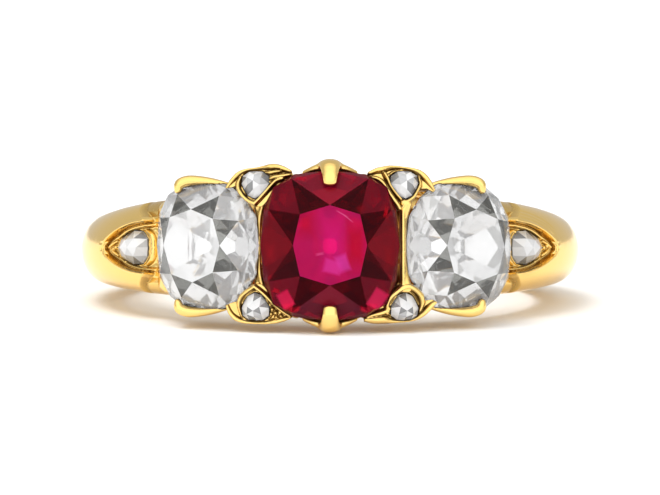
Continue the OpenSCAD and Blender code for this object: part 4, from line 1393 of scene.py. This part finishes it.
def light_patch(nodes, place, middle, row):
    """Strength of a painted light patch of the ruby: full inside it, and fading over its soft edge."""
    x, y, wide, high, turn, edge, colour = row
    spot = middle + (ALONG_FINGER * y + [x, 0, 0]) / 1000
    cos, sin = math.cos(math.radians(turn)), math.sin(math.radians(turn))
    ways = ((ALONG_FINGER * sin + [cos, 0, 0], wide), (ALONG_FINGER * cos - [sin, 0, 0], high))
    reach = []
    for direction, half in ways:
        direction = direction * 1000 / half
        away = nodes.combined("SUBTRACT", nodes.dot(place, direction), float(spot @ direction))
        reach.append(nodes.combined("ABSOLUTE", away, 0))
    return nodes.mapped(nodes.combined("MAXIMUM", *reach), 1 - edge, 1, colour[3], 0)


def facet_material(name, node, *, crown, pavilion, index, roughness, clear, table_clear, variety,
                   leans=(), lights=(), glints=()):
    """A cut stone whose facets each have their own colour, with painted light and shade in it.

    crown and pavilion are the colours of the facets above and below the girdle, as in the tables above.
    The pavilion returns the light as a mirror does. clear and table_clear are how much of the light goes
    through the crown and through the table.
    """
    way, girdle, middle = stone_way(node)
    material, nodes, surface, output = new_material(name)
    coordinates = nodes.add("ShaderNodeTexCoord")
    facing, place = coordinates.outputs["Normal"], coordinates.outputs["Object"]
    slope = nodes.combined("ABSOLUTE", nodes.dot(facing, way), 0)
    above = nodes.combined("GREATER_THAN", nodes.dot(place, way), girdle)
    table = nodes.both(above, nodes.combined("GREATER_THAN", slope, TABLE_FACING))
    round_table = nodes.combined("SUBTRACT", above, table)
    # Painted light and shade: a colour for each kind of facet, and its own for main facets by their lean
    colour = nodes.blended("MIX", above, nodes.steps(slope, pavilion), nodes.steps(slope, crown))
    for way_x, way_y, lean, tone in leans:
        toward = nodes.dot(facing, ALONG_FINGER * way_y + [way_x, 0, 0])
        chosen = nodes.both(above, nodes.combined("GREATER_THAN", toward, lean))
        chosen = nodes.both(chosen, nodes.combined("LESS_THAN", slope, RUBY_STAR_FACING))
        colour = nodes.blended("MIX", chosen, colour, (*tone, 1))
    # Painted lights in the table and painted glints in the facets round it
    for seen_in, row in [(table, row) for row in lights] + [(round_table, row) for row in glints]:
        shown = nodes.both(seen_in, light_patch(nodes, place, middle, row))
        colour = nodes.blended("MIX", shown, colour, (*row[-1][:3], 1))
    streaks = nodes.mapped(nodes.noise(place, *STREAKS), 0.3, 0.7, 0.94, 1.02)
    level = nodes.combined("MULTIPLY", facet_tone(nodes, facing, variety), streaks)
    nodes.feed(surface, {
        "Base Color": nodes.blended("MULTIPLY", 1.0, colour, level),
        "Metallic": nodes.mapped(above, 0, 1, 1, 0),
        "Roughness": roughness,
        "IOR": index,
        "Transmission Weight":
            clear if clear == table_clear else nodes.mapped(table, 0, 1, clear, table_clear),
    })
    return material, nodes, surface, output


def diamond_material(node, look):
    """A diamond in painted light and shade: a grey for each kind of facet, and its own for the star facets.
    """
    clear, table_clear, variety = look.diamond_clear, look.diamond_table_clear, look.facet_variety
    star = (look.diamond_star, look.diamond_star, look.diamond_star * 0.9)
    crown = [(facing, grey(level)) for facing, level in DIAMOND_CROWN]
    crown += [(DIAMOND_STAR_FACING, star), (TABLE_FACING, grey(0.93))]
    if "rose" in node:
        clear = table_clear = look.shoulder_rose_clear if "shoulder" in node else look.rose_clear
        variety += look.rose_variety
        crown = [(facing, grey(level)) for facing, level in ROSE_CROWN]
    material, *_ = facet_material(
        node + "_stone", node, crown=crown, pavilion=[(0, grey(1.0)), (TABLE_FACING, grey(1.0))],
        index=look.diamond_index, roughness=DIAMOND_POLISH, clear=clear, table_clear=table_clear,
        variety=variety)
    return material


def ruby_material(look):
    """The ruby in painted light and shade: deep red sides, a bright table with lights in it, and glints
    round it.
    """
    side, star, table = tuple(look.ruby_side), tuple(look.ruby_star), tuple(look.ruby_table)
    crown = [(0, star), (0.2, RUBY_GIRDLE_FACETS), (0.7, side), (RUBY_STAR_FACING, star),
             (TABLE_FACING, table)]
    material, nodes, surface, output = facet_material(
        "ruby_stone", "ruby", crown=crown, pavilion=RUBY_PAVILION, index=look.ruby_index,
        roughness=RUBY_POLISH, clear=look.ruby_clear, table_clear=look.ruby_table_clear,
        variety=look.ruby_variety, leans=RUBY_LEANS, lights=RUBY_LIGHTS, glints=RUBY_GLINTS)
    nodes.feed(surface, {"Specular Tint": RUBY_SHINE})
    inside = nodes.feed(nodes.add("ShaderNodeVolumeAbsorption"), RUBY_INSIDE)
    nodes.feed(output, {"Volume": inside.outputs["Volume"]})
    return material


# Half the least thickness of a girdle, in metres
HALF_GIRDLE = 0.00006


def stone_way(node):
    """Which way a stone's table faces, its girdle's place along that, and its middle, all in the frame."""
    mesh = frame["nodes"][node].data
    facets = {}
    for face in mesh.polygons:
        key = tuple(round(n, 2) for n in face.normal)
        area, total = facets.get(key, (0, 0))
        facets[key] = (area + face.area, total + np.array(face.center) * face.area)
    largest = unit(max(facets, key=lambda key: facets[key][0]))
    way = largest if largest @ TO_HEAD > 0 else -largest
    rim = [(total, area) for key, (area, total) in facets.items() if abs(unit(key) @ way) < 0.06]
    middle = sum(total for total, _ in rim) / sum(area for _, area in rim)
    return way, float(middle @ way) - HALF_GIRDLE, middle


# Operators


class CARVED_RING_OT_shank(bpy.types.Operator):
    """Adds the shank with its shoulders"""

    bl_idname = "carved_ring.shank"
    bl_label = "Shank"

    def execute(self, context):
        ring = context.scene.carved_ring
        rings, shade = shank_points(ring.shank)
        count, around = rings.shape[:2]
        piece = new_piece("shank", rings.reshape(-1, 3), loft_faces(count, around), shade.reshape(-1))
        dress_gold(piece, ring.gold)
        return {"FINISHED"}


class CARVED_RING_OT_gallery(bpy.types.Operator):
    """Adds the plate, arches and scrolls under the stones"""

    bl_idname = "carved_ring.gallery"
    bl_label = "Gallery"

    def execute(self, context):
        ring = context.scene.carved_ring
        add_metal("gallery", gallery_metal(ring.head, ring.shank.bore_radius * 1000), ring.gold)
        return {"FINISHED"}


class CARVED_RING_OT_claws(bpy.types.Operator):
    """Adds the claws, rails and bridges that hold the large stones"""

    bl_idname = "carved_ring.claws"
    bl_label = "Claws"

    def execute(self, context):
        ring = context.scene.carved_ring
        add_metal("claws", claw_metal(ring.head, ring.shank.bore_radius * 1000), ring.gold)
        return {"FINISHED"}


class CARVED_RING_OT_leaves(bpy.types.Operator):
    """Adds the four leaves that hold the small stones of the head"""

    bl_idname = "carved_ring.leaves"
    bl_label = "Leaves"

    def execute(self, context):
        add_leaves(LEAVES, context.scene.carved_ring)
        return {"FINISHED"}


class CARVED_RING_OT_settings(bpy.types.Operator):
    """Adds the settings of the small stones in the shoulders"""

    bl_idname = "carved_ring.settings"
    bl_label = "Shoulder settings"

    def execute(self, context):
        add_leaves(SETTINGS, context.scene.carved_ring)
        return {"FINISHED"}


class CARVED_RING_OT_stones(bpy.types.Operator):
    """Gives the stones their materials"""

    bl_idname = "carved_ring.stones"
    bl_label = "Stones"

    def execute(self, context):
        look = context.scene.carved_ring.stones
        for node in STONES:
            slots = frame["nodes"][node].material_slots
            if not slots:
                raise RuntimeError(f"{node} has no material slot")
            material = ruby_material(look) if node == "ruby" else diamond_material(node, look)
            for slot in slots:
                slot.material = material
        return {"FINISHED"}


class CARVED_RING_OT_studio(bpy.types.Operator):
    """Adds the floor, the light and the camera"""

    bl_idname = "carved_ring.studio"
    bl_label = "Studio"

    def execute(self, context):
        studio = context.scene.carved_ring.studio
        add_floor(studio.floor_size)
        add_sky(context.scene, studio)
        add_top_box()
        add_camera(context.scene, studio)
        # Light passes many facets before it leaves a stone
        cycles = context.scene.cycles
        cycles.max_bounces = 24
        cycles.transmission_bounces = 20
        cycles.glossy_bounces = 10
        cycles.transparent_max_bounces = 16
        cycles.volume_bounces = 0
        context.scene.view_settings.view_transform = "Standard"
        return {"FINISHED"}


def dress_gold(piece, finish):
    """Gives a piece the gold, and puts it in the place of the construction model's hoop."""
    gold = bpy.data.materials.get("old_gold") or gold_material(finish)
    piece.data.materials.append(gold)
    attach(piece, "root")
    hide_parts("carved_hoop")


def add_metal(name, metal, finish):
    """Adds the skin of a grid of metal as a piece in gold, with its painted shade and patina."""
    points, quads = metal.skin()
    dress_gold(new_piece(name, points, quads, metal.painted_shade_and_patina(points)), finish)


# Points to each side of the floor, and how far it lies under the ring, in metres
FLOOR_POINTS, FLOOR_DROP = 9, 0.00002


def add_floor(half):
    """A wide sheet of pale paper under the ring."""
    mesh = bpy.data.meshes.new("floor")
    ticks = np.linspace(-half, half, FLOOR_POINTS)
    points = [(x, y, -FLOOR_DROP) for x in ticks for y in ticks]
    starts = [i * FLOOR_POINTS + k for i in range(FLOOR_POINTS - 1) for k in range(FLOOR_POINTS - 1)]
    faces = [(at, at + FLOOR_POINTS, at + FLOOR_POINTS + 1, at + 1) for at in starts]
    mesh.from_pydata(points, [], faces)
    mesh.update()
    floor = bpy.data.objects.new("floor", mesh)
    bpy.context.scene.collection.objects.link(floor)
    material, nodes, surface, _ = new_material("pale_paper")
    place = nodes.add("ShaderNodeTexCoord").outputs["Object"]
    tone = nodes.mapped(nodes.noise(place, 40, 3), 0.3, 0.7, 0.9, 0.93)
    nodes.feed(surface, {"Base Color": tone, "Roughness": 0.7, "Specular IOR Level": 0.2})
    mesh.materials.append(material)


# Angles from the middle of the front light, in degrees: full up to the first, and none from the second on
FRONT_FULL, FRONT_NONE = 38, 75
# The same of the light from above, and the way to its middle
TOP_FULL, TOP_WAY = 25, (0, -0.45, 0.89)


def add_sky(scene, studio):
    """Soft white light: brightest round the camera and from above, dimmer at the sides and the back."""
    world = bpy.data.worlds.new("studio_sky")
    scene.world = world
    world.use_nodes = True
    nodes = Nodes(world.node_tree)
    output = nodes.add("ShaderNodeOutputWorld")
    light = nodes.add("ShaderNodeBackground")
    nodes.feed(output, {"Surface": light.outputs["Background"]})
    way = nodes.add("ShaderNodeTexCoord").outputs["Generated"]
    tilt = studio.camera_height
    full, none, top_full = (math.cos(math.radians(a)) for a in (FRONT_FULL, FRONT_NONE, TOP_FULL))
    front = nodes.dot(way, (0, -math.cos(tilt), math.sin(tilt)))
    level = nodes.mapped(front, none, full, studio.side_light, studio.front_light)
    above = nodes.mapped(nodes.dot(way, TOP_WAY), none, top_full, 0, studio.top_light)
    nodes.feed(light, {"Strength": nodes.combined("MAXIMUM", level, above), "Color": (1, 1, 1, 1)})


# Soft box over the head, in metres and watts
TOP_BOX = {"size": (0.3, 0.2), "place": (-0.12, -0.1, 0.4), "power": 1.0}


def add_top_box():
    """A soft box over the head that lights the floor and casts the ring's soft shadow."""
    light = bpy.data.lights.new("top_box", "AREA")
    light.shape = "RECTANGLE"
    light.size, light.size_y = TOP_BOX["size"]
    light.energy = TOP_BOX["power"]
    lamp = bpy.data.objects.new("top_box", light)
    lamp.location = TOP_BOX["place"]
    lamp.rotation_euler = (-lamp.location).to_track_quat("-Z", "Y").to_euler()
    lamp.visible_glossy = False
    lamp.visible_transmission = False
    bpy.context.scene.collection.objects.link(lamp)


# The camera's sensor and focal length in millimetres, what it sees in metres, and how far over the middle
# of the finger hole it aims
SENSOR, FOCAL_LENGTH = 36, 450
NEAREST, FARTHEST = 0.01, 20
AIM_RISE = 0.00009


def add_camera(scene, studio):
    """A long lens in front of the head, a little above it."""
    camera = bpy.data.cameras.new("camera")
    camera.sensor_width = SENSOR
    camera.lens = FOCAL_LENGTH
    camera.clip_start, camera.clip_end = NEAREST, FARTHEST
    lens = bpy.data.objects.new("camera", camera)
    aim = Vector(HOLE_CENTRE / 1000) + Vector((0, 0, AIM_RISE))
    look = Vector((0, math.cos(studio.camera_height), -math.sin(studio.camera_height)))
    lens.location = aim - look * studio.camera_distance
    lens.rotation_euler = look.to_track_quat("-Z", "Y").to_euler()
    scene.collection.objects.link(lens)
    scene.camera = lens


class CARVED_RING_PT_panel(bpy.types.Panel):
    """Lists the ring's pieces, sizes and finishes"""

    bl_label = "Carved Ring"
    bl_idname = "CARVED_RING_PT_panel"
    bl_space_type = "VIEW_3D"
    bl_region_type = "UI"
    bl_category = "Carved Ring"

    def draw(self, context):
        ring = context.scene.carved_ring
        for operator in OPERATORS:
            self.layout.operator(operator.bl_idname)
        for group in (ring.shank, ring.head, ring.gold, ring.stones, ring.studio):
            box = self.layout.box()
            for name in type(group).__annotations__:
                box.prop(group, name)


GROUPS = (ShankSizes, HeadSizes, GoldFinish, StoneFinish, StudioSizes, CarvedRing)
OPERATORS = (CARVED_RING_OT_shank, CARVED_RING_OT_gallery, CARVED_RING_OT_claws, CARVED_RING_OT_leaves,
             CARVED_RING_OT_settings, CARVED_RING_OT_stones, CARVED_RING_OT_studio)
CLASSES = GROUPS + OPERATORS + (CARVED_RING_PT_panel,)


def register():
    for cls in CLASSES:
        bpy.utils.register_class(cls)
    bpy.types.Scene.carved_ring = PointerProperty(type=CarvedRing)


def unregister():
    del bpy.types.Scene.carved_ring
    for cls in reversed(CLASSES):
        bpy.utils.unregister_class(cls)


def main():
    register()
    bpy.ops.carved_ring.shank()
    bpy.ops.carved_ring.gallery()
    bpy.ops.carved_ring.claws()
    bpy.ops.carved_ring.leaves()
    bpy.ops.carved_ring.settings()
    bpy.ops.carved_ring.stones()
    bpy.ops.carved_ring.studio()


if __name__ == "__main__":
    main()
